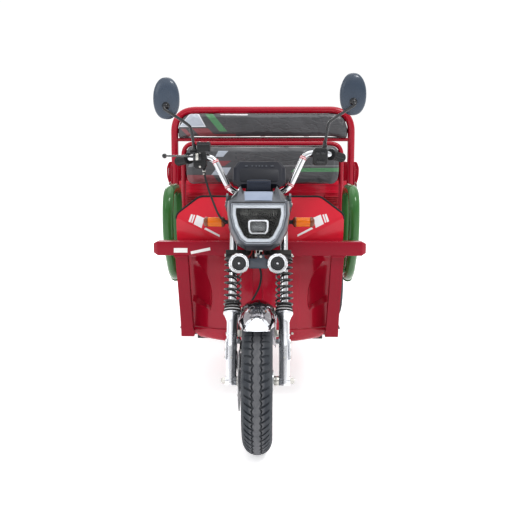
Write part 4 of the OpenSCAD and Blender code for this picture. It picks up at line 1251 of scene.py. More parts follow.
# ---------------------------------------------------------------- mudguard
def mudguard():
    sec = [(0, 255.5), (5, 255.4), (10, 254.9), (16, 253.7), (22, 252.0), (28, 249.7), (34, 246.4), (39.5, 242.4), (45, 237.0), (50, 230.2), (53.6, 223.0), (56.0, 215.5), (57.3, 209.5), (58.3, 208.3), (59.0, 209.4)]
    half = sec
    outline = [(-x, r) for x, r in half[::-1]] + half[1:]
    segs = 84
    a0, a1 = -40.0, 75.0
    grid_o, grid_i = [], []
    for i in range(segs + 1):
        t = i / segs
        row_o, row_i = [], []
        for x, r in outline:
            # the front edge is level, with a raised tongue in its middle
            reach = 15.5 * max(0.0, 1 - (x / 42.0) ** 2)
            flat = 0.55 * (255.5 - r)
            aa = -math.degrees(math.acos(200.6 / (r + (5.0 + flat if reach > 0 else 0.0) + 1.2)))
            a = aa + (a1 - aa) * t ** 1.3
            ar = math.radians(a)
            into = max(0.0, 1 - (a - aa) / max(reach, 0.01))
            edge = max(0.0, 1 - (a - aa) / 1.4)
            up = min(1.0, into * 5.0)
            lip = up * up * (3 - 2 * up) * (1.6 + flat + 3.4 * into) + 1.2 * edge
            near = 0.0
            # the front corner would be rounded in plan, but near is held at 0, so w stays 1
            w = 1 - 0.10 * near ** 2
            rr = r + lip
            # the skirts draw in past the legs
            c, s_ = math.cos(ar), math.sin(ar)
            v = rr * math.sin(ar - math.radians(-0.0))
            vx = rr * s_ * math.cos(RAKE) - rr * c * math.sin(RAKE)
            xx = x * w
            if abs(vx) < 50:
                k = min(1.0, (50 - abs(vx)) / 14.0)
                lim = 54.9
                if abs(xx) > lim:
                    xx = math.copysign(abs(xx) + (lim - abs(xx)) * k, xx)
            row_o.append((xx, rr * s_, 245 + rr * c))
            ri = rr - 2.2
            xi = xx - math.copysign(min(abs(xx), 1.4) * min(1, abs(x) / 50), xx) if abs(x) > 1 else xx
            row_i.append((xi, ri * s_, 245 + ri * c))
        grid_o.append(row_o)
        grid_i.append(row_i)
    nr, nc = len(grid_o), len(outline)
    verts = [p for r in grid_o for p in r] + [p for r in grid_i for p in r]
    n = nr * nc
    faces = []
    for i in range(nr - 1):
        for j in range(nc - 1):
            a = i * nc + j
            faces.append((a, a + 1, a + nc + 1, a + nc))
            faces.append((a + n, a + nc + n, a + nc + 1 + n, a + 1 + n))
    for i in range(nr - 1):
        for j in (0, nc - 1):
            a = i * nc + j
            faces.append((a, a + nc, a + nc + n, a + n))
    for i in (0, nr - 1):
        for j in range(nc - 1):
            a = i * nc + j
            faces.append((a, a + 1, a + 1 + n, a + n))
    stays = []
    for s in (-1, 1):
        stays.append(in_legs(rbox(min(s * 52.2, s * 55.0), max(s * 52.2, s * 55.0), -11, 11, 140, 234, 1.0, 0.6)))
        stays.append(in_legs(rbox(min(s * 54.0, s * 66.2), max(s * 54.0, s * 66.2), -9, 9, 141, 161, 2.0, 1.0)))
    bolts = [hex_bolt(legs(s * 52.0, 0, 228), (-s, 0, 0), 3.6, 1.6, False) for s in (-1, 1)]
    m = Mat("mudguard_chrome", (0.34, 0.33, 0.35), 0.09, 1.0, 0.0)
    m.vary((0.62, 0.60, 0.62), 34.0, 0.50, 0.66)
    # painted reflection: a pale bluish-white arch mixed into the chrome's colour on the front of the dome
    reflection_arch = [(40.0 * math.cos(a), 446.0 + 33.0 * math.sin(a) - 4.0) for a in [math.pi * k / 8 for k in range(9)]]
    m.set_color(m.mix(m.patch(reflection_arch, 20), m.color, (0.93, 0.95, 0.99)))
    m.grime(amount=0.03, scale=12.0, rough_add=0.10)
    m.bump(m.noise(14.0, 2.0), 0.06, 0.002)
    make("chrome_mudguard", (verts, faces), "fork", m.mat, "front_mudguard", angle=50)
    make("mudguard_stays", join(*stays), "fork", ZINC)


mudguard()


# ---------------------------------------------------------------- headlight
def ring(half, offset=0.0):
    """Closed loop from half an outline of (x, L, z), mirrored."""
    right = [tuple(p) for p in half]
    left = [(-x, l, z) for x, l, z in half[::-1] if abs(x) > 1e-6]
    return right + left


def loft_open(rings, flip=False):
    n = len(rings[0])
    verts = [p for r in rings for p in r]
    faces = []
    for i in range(len(rings) - 1):
        for j in range(n):
            k = (j + 1) % n
            f = (i * n + j, i * n + k, (i + 1) * n + k, (i + 1) * n + j)
            faces.append(f[::-1] if flip else f)
    return verts, faces


LENS_OUT = [(0, 797), (50, 797), (86, 797), (88, 761), (78.5, 721), (58, 682), (39, 668), (0, 668)]


def shroud():
    # nine points a side: the top notch, the ear, the shoulder, the flank and the chin
    def r(l, pts):
        return ring([(x, l if d is None else l + d, z) for x, z, d in pts])
    n = None
    rings = [
        r(103.0, [(0, 796, n), (50, 796, n), (70, 796, n), (86, 796, n), (88, 761, n), (78, 721, n), (57.5, 683, n), (38.5, 669, n), (0, 669, n)]),
        r(100.4, [(0, 797.6, n), (50, 797.6, n), (70, 797.6, n), (87, 797.6, n), (89.2, 761, n), (79.2, 720.4, n), (58.8, 681, n), (39.4, 667, n), (0, 667, n)]),
        r(100.2, [(0, 800.6, n), (50, 800.6, n), (71, 800.6, n), (90, 800.2, n), (92.6, 760, n), (82.6, 717, n), (61.6, 677.4, n), (41, 663, n), (0, 663, n)]),
        r(106.0, [(0, 806, n), (49, 806, n), (71, 808, n), (94, 806, n), (96.6, 761, n), (87, 714, n), (65, 672, n), (41, 656, n), (0, 656, n)]),
        r(118.0, [(0, 815, n), (48, 815, n), (68, 822, n), (100, 800, n), (99.5, 757, n), (92, 709, n), (69.5, 664, n), (39.5, 645, n), (0, 645, n)]),
        r(131.0, [(0, 824, n), (48, 824, n), (63, 838, n), (105, 795, 2), (100, 748, n), (96, 708, n), (72, 661, n), (38, 640.4, n), (0, 640.4, n)]),
        r(145.6, [(0, 831, n), (49, 831, n), (59, 850, n), (106, 793, n), (100, 748, n), (96, 708, n), (72, 661, n), (44, 646, n), (0, 646, n)]),
        r(146.4, [(0, 831.2, n), (49, 831.2, n), (59, 850, n), (106, 793, n), (100, 748, n), (96, 708, n), (76, 670, n), (70, 661, n), (0, 661, n)]),
        r(169.6, [(0, 832, n), (50, 832, n), (59, 851, n), (106, 793, n), (100, 748, n), (96, 708, n), (76, 670, n), (70, 661, n), (0, 661, n)]),
        r(170.4, [(0, 832, n), (50, 832, n), (59, 851, n), (106, 793, n), (100, 748, n), (96, 710, n), (93, 700, n), (88, 695, n), (0, 695, n)]),
        r(191.0, [(0, 831, n), (50, 831, n), (58, 849, n), (104, 792, n), (98, 748, n), (94.5, 710, n), (91.5, 700, n), (87, 695.6, n), (0, 695.6, n)]),
        r(192.0, [(0, 827, n), (48, 827, n), (57, 845, n), (100, 790, n), (94, 748, n), (91, 712, n), (88, 702, n), (84, 698, n), (0, 698, n)]),
    ]
    v, f = loft_open(rings)
    m = len(rings[0])
    base = (len(rings) - 1) * m
    f = f + [tuple(base + j for j in range(m))]
    make("shroud_body", (v, f), "fork", SHROUD, "headlight_shroud", angle=16, bevel=1.1, segs=2)
    # ear ridges and the small flank blades with their screws
    ears, screws = [], []
    for s in (-1, 1):
        ears.append(side_blade(s, [(150, 818), (166, 826), (190, 820), (190, 800), (166, 788), (152, 796)], 98.5, 106.4))
        ears.append(side_blade(s, [(124, 800), (150, 806), (178, 778), (176, 764), (150, 772), (128, 786)], 99, 107.0))
        screws.append(revolve([(0, 0), (4.4, 0), (4.4, 1.6), (3.4, 2.8), (2.0, 2.8), (1.6, 1.8), (0, 1.8)], 18, (s * 107.0, 151, 786), (s, 0, 0)))
        screws.append(revolve([(0, 0), (3.6, 0), (3.6, 1.4), (2.6, 2.4), (0, 2.4)], 18, (s * 101, 166, 756), (s, 0, 0)))
    make("shroud_blades", join(*ears), "fork", SHROUD, angle=20, bevel=0.8)
    make("shroud_screws", join(*screws), "fork", PLASTIC_GLOSS)
    # cheeks back to the tubes
    ck = both(rbox(97.9, 101.3, 150, 244, 747, 771, 3, 0.8))
    make("shroud_cheeks", ck, "fork", PLASTIC)
    # pale visor plate with turned-down ends
    rows = []
    for t in range(9):
        u = t / 8
        l = 104.5 + (146 - 104.5) * u
        z = 805.2 + (832.1 - 805.2) * u + 1.2 * math.sin(math.pi * u)
        hw = 45.0 + 3.2 * u
        row = [(-hw, l, z - 2.6), (-hw + 2.0, l, z + 0.6)]
        row += [(x, l, z + 1.1 + 0.5 * math.cos(x / 30.0)) for x in (-36, -24, -12, 0, 12, 24, 36)]
        row += [(hw - 2.0, l, z + 0.6), (hw, l, z - 2.6)]
        rows.append(row)
    make("visor_plate", shell(rows, 1.6), "fork", VISOR, angle=30)
    slot = front_plate([(-84, 799.2), (84, 799.2), (84, 802.4), (-84, 802.4)], 99.4, 104.0, 0.6)
    make("visor_slot", slot, "fork", PLASTIC_GLOSS)


def side_blade(s, pts, x0, x1):
    g = side_plate(round_poly(pts, 4), min(s * x0, s * x1), max(s * x0, s * x1), 1.4, 2)
    return g


shroud()


def scale_half(d, pts=LENS_OUT):
    """Lens outline drawn in by d, as a full loop of (x, z)."""
    loop = [(x, z) for x, z in pts] + [(-x, z) for x, z in pts[::-1] if abs(x) > 1e-6]
    return inset(loop, d) if area2(loop) > 0 else inset(loop[::-1], d)


def lamp():
    """Housing, reflector, light guide, projector and clear lens."""
    def loop3(d, l):
        return [(x, l, z) for x, z in scale_half(d)]
    # housing that closes the opening from behind
    tray = loft_open([loop3(0.9, 104.3), loop3(0.9, 112), loop3(3.0, 112.4), loop3(3.0, 104.6)])
    back = loft_open([loop3(-4.0, 105.0), loop3(-4.0, 149.0), loop3(2, 149.6)])
    n = len(loop3(0, 0))
    vb, fb = back
    fb = fb + [tuple(range(2 * n, 3 * n))]
    make("lamp_housing", join(tray, (vb, fb)), "fork", PLASTIC, "headlight_unit", angle=30, bevel=0.5)
    # white light guide: a wide frame, bevelled, that follows the opening
    g0, g1, g2, g3 = 3.4, 4.6, 14.2, 15.6
    guide = loft_open([loop3(g0, 112.0), loop3(g0, 106.5), loop3(g1, 105.2), loop3((g1 + g2) / 2, 104.7), loop3(g2, 105.6), loop3(g3, 108.5), loop3(g3, 116)])
    make("light_guide", guide, "fork", DRL, angle=32)
    # reflector: stepped bowl with facets
    rg = random.Random(31)
    steps = [(15.8, 111.0), (17.5, 110.4), (22.0, 116.0), (22.8, 115.6), (28.5, 124), (29.3, 123.6), (36, 133), (37, 132.6), (46, 138.0)]
    rings3 = []
    for d, l in steps:
        try:
            rings3.append(loop3(d, l))
        except Exception:
            break
    v, f = loft_open(rings3)
    f = f + [tuple((len(rings3) - 1) * n + j for j in range(n))]
    make("reflector_bowl", (v, f), "fork", SPECKLE_GLINTS, angle=14)
    # vertical flutes across the upper reflector
    fl = []
    for i in range(-9, 10):
        x = i * 7.0
        w = 58 - abs(x) * 0.30
        if abs(x) < 60:
            fl.append(box(x - 2.4 + rg.uniform(-0.5, 0.5), x + 2.4, 113.5 + abs(x) * 0.02, 119, 757 - 0 * w, 780 + rg.uniform(-1, 0.5)))
    make("reflector_flutes", join(*fl), "fork", SPECKLE_GLINTS, bevel=0.8)
    lo = []
    for i in range(-6, 7):
        x = i * 6.2
        lo.append(box(x - 2.2, x + 2.2, 114, 120, 684, 692 + rg.uniform(-1, 1)))
    make("reflector_steps", join(*lo), "fork", SPECKLE_GLINTS, bevel=0.8)
    # projector: octagonal bezel round a thick clear lens
    oc = [(-31, 706), (-24, 698), (24, 698), (31, 706), (33.5, 722), (33.5, 741), (26, 745), (-26, 745), (-33.5, 741), (-33.5, 722)]
    inn = [(-24, 709), (-19, 704), (19, 704), (24, 709), (26, 722), (26, 735), (21, 739), (-21, 739), (-26, 735), (-26, 722)]
    A = lambda pts, l: [(x, l, z) for x, z in pts]
    bez = loft_open([A(oc, 126), A(oc, 108.6), A([(x * 0.97, 722 + (z - 722) * 0.97) for x, z in oc], 107.2), A([(x * 1.03, 722 + (z - 722) * 1.03) for x, z in inn], 107.6), A(inn, 109.4), A(inn, 122)])
    make("projector_bezel", bez, "fork", CHROME, angle=24, bevel=0.6)
    rows = []
    for j in range(13):
        z = 704.6 + 33.8 * j / 12
        hw = 25.2 - 5.5 * abs(2 * j / 12 - 1) ** 6
        row = []
        for i in range(17):
            u = 2 * i / 16 - 1
            w_ = 2 * j / 12 - 1
            row.append((u * hw, 121.5 - 10.5 * max(0.0, (1 - u * u) * (1 - w_ * w_)) ** 0.5, z))
        rows.append(row)
    make("projector_lens", shell(rows, 3.0), "fork", LENS_THICK)
    shut = front_plate([(-25, 705), (25, 705), (25, 738), (-25, 738)], 122.5, 124, 0.3)
    make("projector_shutter", shut, "fork", SPECKLE_GLINTS)
    # clear cover with a thin bright edge line
    cover = front_plate([(x, z) for x, z in scale_half(0.9)][::-1], 99.2, 101.4, 0.7, 2)
    make("clear_cover", cover, "fork", LENS, "headlight_lens", angle=30)
    edge = loft_open([loop3(0.2, 102.6), loop3(0.2, 99.0), loop3(0.6, 98.6), loop3(1.7, 98.6), loop3(2.1, 99.0), loop3(2.1, 102.6)])
    make("cover_edge", edge, "fork", EDGE, angle=30)


lamp()


# ---------------------------------------------------------------- indicators, horns
def indicators():
    amber, caps, stalk, inner = [], [], [], []
    for s in (-1, 1):
        prof = [(0, 0), (13.8, 0), (15.6, 1.2), (16.0, 3)]
        x = 3.0
        while x < 47:
            prof += [(16.0, x + 0.6), (15.3, x + 1.6), (16.0, x + 2.6)]
            x += 4.4
        prof += [(16.2, 50), (15.0, 50.8), (0, 50.8)]
        amber.append(revolve(prof, 40, (s * 123.5, 226, 726), (s, 0, 0)))
        cap = [(16.4, 0), (17.3, 0.6), (17.3, 3.2)]
        for k in range(0, 9):
            a = math.radians(90 * k / 8)
            cap.append((17.3 * math.cos(a) ** 0.8, 3.2 + 12.4 * math.sin(a)))
        cap[-1] = (0, cap[-1][1])
        caps.append(revolve([(0, 0)] + cap, 40, (s * 172.0, 226, 726), (s, 0, 0)))
        base = [(0, 0), (9.5, 0), (14.5, 3), (17.0, 6.2), (17.4, 8), (17.4, 11.4), (16.6, 12), (0, 12)]
        caps.append(revolve(base, 40, (s * 113.6, 226, 726), (s, 0, 0)))
        stalk.append(revolve([(0, 0), (9, 0), (9.4, 1), (9.4, 4), (7.2, 5), (6.6, 7), (6.6, 8.6), (7.2, 9.4), (6.6, 10.4), (6.6, 12), (7.2, 12.8), (6.8, 13.6),
                              (8.4, 15), (8.4, 17), (0, 17)], 30, (s * 98.0, 226, 726), (s, 0, 0)))
        inner.append(revolve([(0, 0), (8.0, 0), (9.0, 2), (9.0, 30), (7, 36), (0, 38)], 24, (s * 128, 226, 726), (s, 0, 0)))
    make("indicator_lenses", join(*amber), "fork", AMBER, "indicators")
    make("indicator_bulbs", join(*inner), "fork", AMBER_IN)
    make("indicator_caps", join(*caps), "fork", AMBER_CAP)
    make("indicator_stalks", join(*stalk), "fork", RUBBER)


indicators()


def horns():
    ring_, cone, dot, body, nuts = [], [], [], [], []
    for s in (-1, 1):
        c = (s * 62, 0, 605)
        # chrome ring with a notched edge
        n = 72
        prof = [(22.4, 95.6), (22.8, 93.6), (24.2, 92.6), (26.4, 92.6), (27.2, 93.6), (28.4, 93.6), (29.2, 92.2), (31.4, 92.0), (33.2, 93.4), (33.8, 95.6), (33.8, 98.4), (32.0, 100), (23, 100), (22.4, 99)]
        v, f = revolve(prof, n, closed=True)
        out = []
        for x, y, z in v:
            a = math.atan2(y, x)
            r = math.hypot(x, y)
            if r > 32:
                k = (a / (2 * math.pi) * 12) % 1.0
                if k < 0.16:
                    r -= 1.7
            out.append((c[0] + r * math.cos(a), z, c[2] + r * math.sin(a)))
        ring_.append((out, f))
        # ribbed cone with a bright button
        p2 = [(0, 97.2), (4.6, 97.0), (5.0, 98.2), (9.3, 98.6), (9.9, 96.8), (11.1, 96.8), (11.7, 98.8), (16.1, 98.6), (16.7, 96.6), (18.2, 96.6),
              (18.8, 98.2), (22.1, 97.4), (22.6, 99.4), (0, 99.8)]
        v, f = revolve(p2, 56)
        cone.append(([(c[0] + x, z, c[2] + y) for x, y, z in v], f))
        v, f = revolve([(0, 94.6), (2.0, 94.9), (3.4, 95.8), (3.8, 97.4), (0, 98)], 24)
        dot.append(([(c[0] + x, z, c[2] + y) for x, y, z in v], f))
        # pressed housing behind the ring
        p3 = [(0, 99.6), (31.5, 99.6), (32.6, 100.6), (32.6, 104.5), (31.0, 107), (27, 112), (19.5, 116.5), (18, 118), (18, 121.6), (15.6, 124.8), (0, 124.8)]
        v, f = revolve(p3, 56)
        body.append(([(c[0] + x, z, c[2] + y) for x, y, z in v], f))
        nuts.append(hex_bolt((s * 62, 124.6, 605), (0, 1, 0), 6.5, 5))
        for k in range(8):
            a = math.pi / 8 + k * math.pi / 4
            nuts.append(revolve([(0, 0), (1.9, 0), (1.9, 0.9), (0, 1.3)], 12, (c[0] + 29.4 * math.cos(a), 92.0, 605 + 27.8 * math.sin(a)), (0, -1, 0)))
    make("horn_rings", join(*ring_), "fork", CHROME, "horns")
    make("horn_cones", join(*cone), "fork", HORN_BLACK)
    make("horn_buttons", join(*dot), "fork", CHROME)
    make("horn_bodies", join(*body), "fork", BLACK)
    make("horn_nuts", join(*nuts), "fork", ZINC)
    bar = front_plate(round_poly([(-31, 586), (31, 586), (31, 619), (-31, 619)], 3), 104.6, 111.8, 1.2)
    stay = in_legs(rbox(-1, 17, -64, 0, 386, 396, 2, 0.8))
    make("horn_bracket", join(bar, rbox(-4, 20, 106, 112, 615, 632, 2, 0.8), stay), "fork", SLATE)
    bolts = [revolve([(0, 0), (4.4, 0), (4.6, 0.8), (4.2, 2.4), (0, 2.8)], 20, (x, 104.8, z), (0, -1, 0)) for x, z in ((8, 626),)]
    make("bracket_bolts", join(*bolts), "fork", ZINC)


horns()


def wires():
    red, white, black = [], [], []
    rg = random.Random(5)
    runs = [
        (red, [(-20, 122, 650), (-22, 124, 636), (-30, 128, 622), (-44, 128, 612)], 1.9),
        (red, [(12, 122, 652), (14, 121, 640), (16, 120, 630), (30, 124, 616), (46, 128, 610)], 1.9),
        (white, [(-6, 121, 652), (-7, 120, 640), (-5, 118, 628), (-2, 120, 616)], 1.7),
        (white, [(2, 122, 654), (4, 120, 642), (2, 118, 630), (4, 119, 622)], 1.7),
        (red, [(-10, 124, 652), (-12, 122, 642), (-9, 120, 632), (-7, 121, 622)], 1.7),
        (black, [(-34, 124, 648), (-36, 128, 636), (-48, 132, 626), (-60, 134, 618)], 2.4),
        (black, [(28, 124, 650), (36, 126, 640), (50, 132, 630), (62, 134, 620)], 2.4),
        (black, [(20, 128, 656), (22, 126, 642), (14, 128, 628), (2, 130, 618), (-10, 132, 600)], 2.4),
        (black, [(-14, 126, 656), (-16, 128, 642), (-24, 130, 632), (-26, 132, 616)], 2.2),
    ]
    for out, pts, r in runs:
        out.append(tube(smooth_path(pts, 6), r, (1, 0, 0), 10))
    plug = [rbox(-12, 0, 117, 125, 622, 634, 1.5, 0.8), rbox(4, 14, 118, 126, 640, 650, 1.5, 0.8)]
    make("lamp_wires_red", join(*red), "fork", WIRE_RED)
    make("lamp_wires_white", join(*white), "fork", WIRE_WHITE)
    make("lamp_wires_black", join(*black), "fork", RUBBER)
    make("wire_plugs", join(*plug), "fork", WIRE_WHITE)


wires()


# ---------------------------------------------------------------- instrument
def instrument():
    # outline up the leg; front face at v = -30, rider side at v = 22
    o = [(-72, 744), (72, 744), (90, 720), (90, 668), (67, 651), (-67, 651), (-90, 668), (-90, 720)]
    def lay(pts, v):
        return [legs(x, v, w) for x, w in pts]
    def sc(kx, kw, dw=0.0):
        return [(x * kx, 697 + (w - 697) * kw + dw) for x, w in o]
    rings = [lay(sc(0.80, 0.80), -29.4), lay(sc(0.86, 0.87), -29.8), lay(sc(0.975, 0.965), -22.0), lay(sc(1.0, 1.0), -14.0), lay(sc(1.0, 1.0), -4.0)]
    up = [(x, max(w, 666.0)) for x, w in o]
    rings += [lay(up, -3.0), lay(up, 14.0), lay([(x * 0.98, 705 + (w - 705) * 0.97) for x, w in up], 21.0),
              lay([(x * 0.90, 705 + (w - 705) * 0.88) for x, w in up], 21.8)]
    make("instrument_case", loft(rings), "fork", NAVY, "instrument", angle=22, bevel=1.2)
    # recessed lower panel, vent row and the block below
    pan = in_legs(front_plate(round_poly([(-60, 664), (60, 664), (66, 672), (66, 706), (58, 712), (-58, 712), (-66, 706), (-66, 672)], 3), -31.2, -28.6, 0.8))
    make("instrument_panel", pan, "fork", NAVY_DARK, angle=24)
    vents = []
    for x in (-46, -41, -24, -10, 0, 10, 24, 41, 46):
        vents.append(in_legs(rbox(x - 2.6, x + 2.6, -32.0, -30.4, 719.5, 723.5, 1.0, 0.3, 3)))
    make("instrument_vents", join(*vents), "fork", VENT_GREY)
    screen = in_legs(front_plate(round_poly([(-64, 676), (64, 676), (64, 728), (-64, 728)], 4), 21.2, 22.4, 0.5))
    make("instrument_screen", screen, "fork", SCREEN)
    bezel = in_legs(front_plate(round_poly([(-74, 670), (74, 670), (74, 734), (-74, 734)], 6), 20.4, 21.6, 0.6))
    make("screen_bezel", bezel, "fork", PLASTIC_GLOSS)
    blk = [rbox(-39, 39, 182, 248.6, 834, 866, 3, 1.4), in_legs(rbox(-29, 29, -60, -25, 652.5, 660.5, 2, 0.8))]
    for i in range(7):
        z = 837.0 + i * 4.3
        blk.append(rbox(-38 + (0 if i < 5 else 4), 38 - (0 if i < 5 else 4), 178.3, 184, z, z + 2.7, 1.0, 0.7, 2))
    make("instrument_mount", join(*blk), "fork", MOUNT)
    plate = front_plate(round_poly([(13, 861), (36, 861), (36, 865.5), (13, 865.5)], 1.0), 181.2, 183.4, 0.3)
    shelf = top_plate(round_poly([(-33, 186), (33, 186), (36, 226), (-36, 226)], 4), 865.0, 867.2, 0.8)
    make("mount_shelf", join(plate, shelf), "fork", NAVY)


instrument()


# ---------------------------------------------------------------- bar and controls
BAR_V, BAR_W = None, None
BAR_C = Vector((0, 299.8, 814.7))
BAR_HALF = [Vector(p) for p in ((0, 0, 0), (64, 0, 0), (102, -4, 18), (156, 3, 130), (204, 12, 136), (238, 34, 131), (292, 132, 118))]
SKEW = 6.5


def bar_side(i, s):
    q = BAR_HALF[i]
    return BAR_C + Vector((s * q.x, q.y, q.z + s * SKEW * max(0, min(1, (q.x - 64) / 92))))


def skewed(geo, s):
    return shifted(geo, 0, 0, s * SKEW)


def handlebar():
    pts = [bar_side(i, -1) for i in range(6, 0, -1)] + [bar_side(i, 1) for i in range(1, 7)]
    path = route(pts, 22, 8)
    make("bent_bar", tube(path, 10.9, (0, 0, 1), 28), "fork", CHROME, "handlebar")
    red, white, blackb = [], [], []
    for s in (-1, 1):
        a, b = bar_side(2, s), bar_side(3, s)
        d = (b - a).normalized()
        n = (b - a).length
        for t in (0.10, 0.90):
            p = a + d * (n * t)
            red.append(rod(p - d * 4.4, p - d * 1.6, 11.9, 28, 0.5))
            white.append(rod(p - d * 1.6, p + d * 1.6, 11.6, 28, 0.4))
            red.append(rod(p + d * 1.6, p + d * 4.4, 11.9, 28, 0.5))
        blackb.append(rod(a + d * 2, a + d * 7, 11.6, 28, 0.8))
    make("bar_bands_red", join(*red), "fork", PINK)
    make("bar_bands_white", join(*white), "fork", WHITE)
    # split clamps over the middle of the bar
    cl = []
    for s in (-1, 1):
        c = BAR_C + Vector((s * 36, 0, 0))
        cl.append(revolve([(11.1, -10), (16.6, -10), (17.4, -9), (17.4, 9), (16.6, 10), (11.1, 10)], 36, c, (1, 0, 0), closed=True))
    make("bar_clamps", join(*cl), "fork", ZINC)


handlebar()


def grips():
    parts, ends = [], []
    for s in (-1, 1):
        a = BAR_C + Vector((s * BAR_HALF[5].x, BAR_HALF[5].y, BAR_HALF[5].z + s * SKEW))
        b = BAR_C + Vector((s * BAR_HALF[6].x, BAR_HALF[6].y, BAR_HALF[6].z + s * SKEW))
        d = (b - a).normalized()
        n = (b - a).length
        p = [(11.2, 18), (18.6, 18), (19.6, 19), (19.6, 21.6), (18.0, 23), (16.0, 25)]
        t = 27.0
        while t < n - 6:
            p += [(16.3, t), (16.3, t + 2.2), (15.2, t + 2.9), (15.2, t + 3.9)]
            t += 4.6
        p += [(16.6, n - 3), (16.9, n - 2), (16.9, n + 2.4), (15.2, n + 4.4), (6, n + 4.8), (0, n + 4.2), (0, n + 1), (11.2, n + 1)]
        parts.append(revolve(p, 36, a, d, closed=True))
        # lengthways grooves: slim raised pads between the rings
        side = Vector((0, 0, 1)).cross(d).normalized()
        up = d.cross(side)
        for k in range(6):
            an = math.pi * 2 * k / 6 + 0.3
            c = side * math.cos(an) + up * math.sin(an)
            parts.append(rod(a + d * 30 + c * 15.6, a + d * (n - 10) + c * 15.6, 1.7, 8, 0.8))
    make("hand_grips", join(*parts), "fork", RUBBER, "grips")


grips()


def controls():
    # brake side: clamp pod, octagonal fluid box, perch, lever
    pod = front_plate(round_poly([(-226, 916), (-218, 909), (-190, 909), (-181, 918), (-181, 958), (-188, 967), (-220, 967), (-227, 958)], 3), 289, 325, 4, 3)
    ribs = [rbox(-224 + i * 0 - 0, -184, 287.4, 290, 918 + i * 9, 922 + i * 9, 1.2, 0.6) for i in range(5)]
    oct_ = round_poly([(-213, 292), (-208, 290.5), (-174, 290.5), (-169, 295), (-169, 323), (-174, 327.4), (-208, 327.4), (-213, 322)], 2)
    res = top_plate(oct_, 968, 996, 2.0, 2)
    lid = top_plate([(-191 + (x + 191) * 1.035, 309 + (y - 309) * 1.035) for x, y in oct_], 990, 999.6, 1.4, 2)
    body = join(pod, *ribs, res)
    make("brake_pod", skewed(body, -1), "fork", PLASTIC, "brake_lever", angle=30)
    make("fluid_lid", skewed(lid, -1), "fork", PLASTIC_GLOSS, angle=30)
    bolts = []
    for x in (-206, -176):
        bolts.append(revolve([(0, 0), (3.4, 0), (3.6, 1), (3.0, 2.2), (1.4, 2.2), (0, 1.4)], 16, (x, 309, 999.2 - 0), (0, 0, 1)))
    for z in (916, 960):
        bolts.append(revolve([(0, 0), (3.8, 0), (3.8, 2.0), (2.0, 2.4), (0, 1.4)], 16, (-203, 289.2, z), (0, -1, 0)))
    perch = rbox(-222, -197, 278.4, 292, 937, 961, 4, 2.0)
    pivot = revolve([(0, 0), (7, 0), (7.4, 1), (7.4, 21), (6.4, 23), (0, 23)], 24, (-212, 284, 938), (0, 0, 1))
    path = smooth_path([(-212, 284, 948), (-232, 291, 950), (-252, 298, 952), (-280, 321, 952), (-310, 344, 952), (-330, 360, 952)], 6)
    lever = sweep(path, [(math.cos(2 * math.pi * i / 16) * 4.2, math.sin(2 * math.pi * i / 16) * 6.4) for i in range(16)], (0, 0, 1),
                  scale=lambda t: 1.0 - 0.22 * min(1.0, max(0.0, (t - 0.15) / 0.4)))
    tip = ball((-335, 364.6, 952), 8.6, 20)
    make("brake_lever_blade", skewed(join(perch, lever, tip), -1), "fork", PLASTIC_GLOSS)
    make("brake_pivot", skewed(join(pivot, *bolts), -1), "fork", ZINC)
    # short arm at the top left of the pod, with the cable boot below it
    arm = [rod((-232, 296, 968), (-214, 298, 972), 4.6, 16, 1.2), ball((-233, 296, 968), 5.6, 16),
           revolve([(0, 0), (6.4, 0), (6.8, 1), (5.2, 8), (4.2, 22), (0, 22)], 20, (-190, 300, 914), (0, -0.15, -1))]
    make("cable_boot", skewed(join(*arm), -1), "fork", RUBBER)
    # rider side and throttle side of the left pod: small toggles
    tog = [rbox(-204, -194, 323.5, 328.5, 944, 956, 2, 1.2), rbox(-204, -194, 323.5, 328.0, 924, 934, 2, 1.2)]
    make("left_toggles", skewed(join(*tog), -1), "fork", RED_SWITCH)
    # right pod with its rockers
    sp = front_plate(round_poly([(183, 914), (190, 907), (226, 907), (233.4, 914), (233.4, 960), (226, 967.4), (192, 967.4), (183, 958)], 3), 286.6, 329.4, 4, 3)
    seam = front_plate(round_poly([(182.4, 938), (233.8, 938), (233.8, 939.4), (182.4, 939.4)], 0.5), 286.2, 329.8, 0.3)
    rk = [rbox(192, 206, 284.8, 288.4, 944, 958, 3, 1.4), rbox(210, 226, 284.8, 288.4, 944, 960, 3, 1.4), rbox(194, 224, 284.8, 288.4, 914, 930, 4, 1.4)]
    make("switch_body", skewed(join(sp, seam), 1), "fork", PLASTIC, "switch_pod", angle=30)
    make("switch_rockers", skewed(join(*rk), 1), "fork", PLASTIC_GLOSS)
    tg = [rbox(196, 206, 327.6, 332.6, 944, 954, 2, 1.2), rbox(212, 226, 327.6, 332.0, 942, 952, 2, 1.2), rbox(200, 220, 327.6, 331.6, 918, 928, 2, 1.2)]
    make("right_toggles", skewed(join(*tg), 1), "fork", RED_SWITCH)


controls()


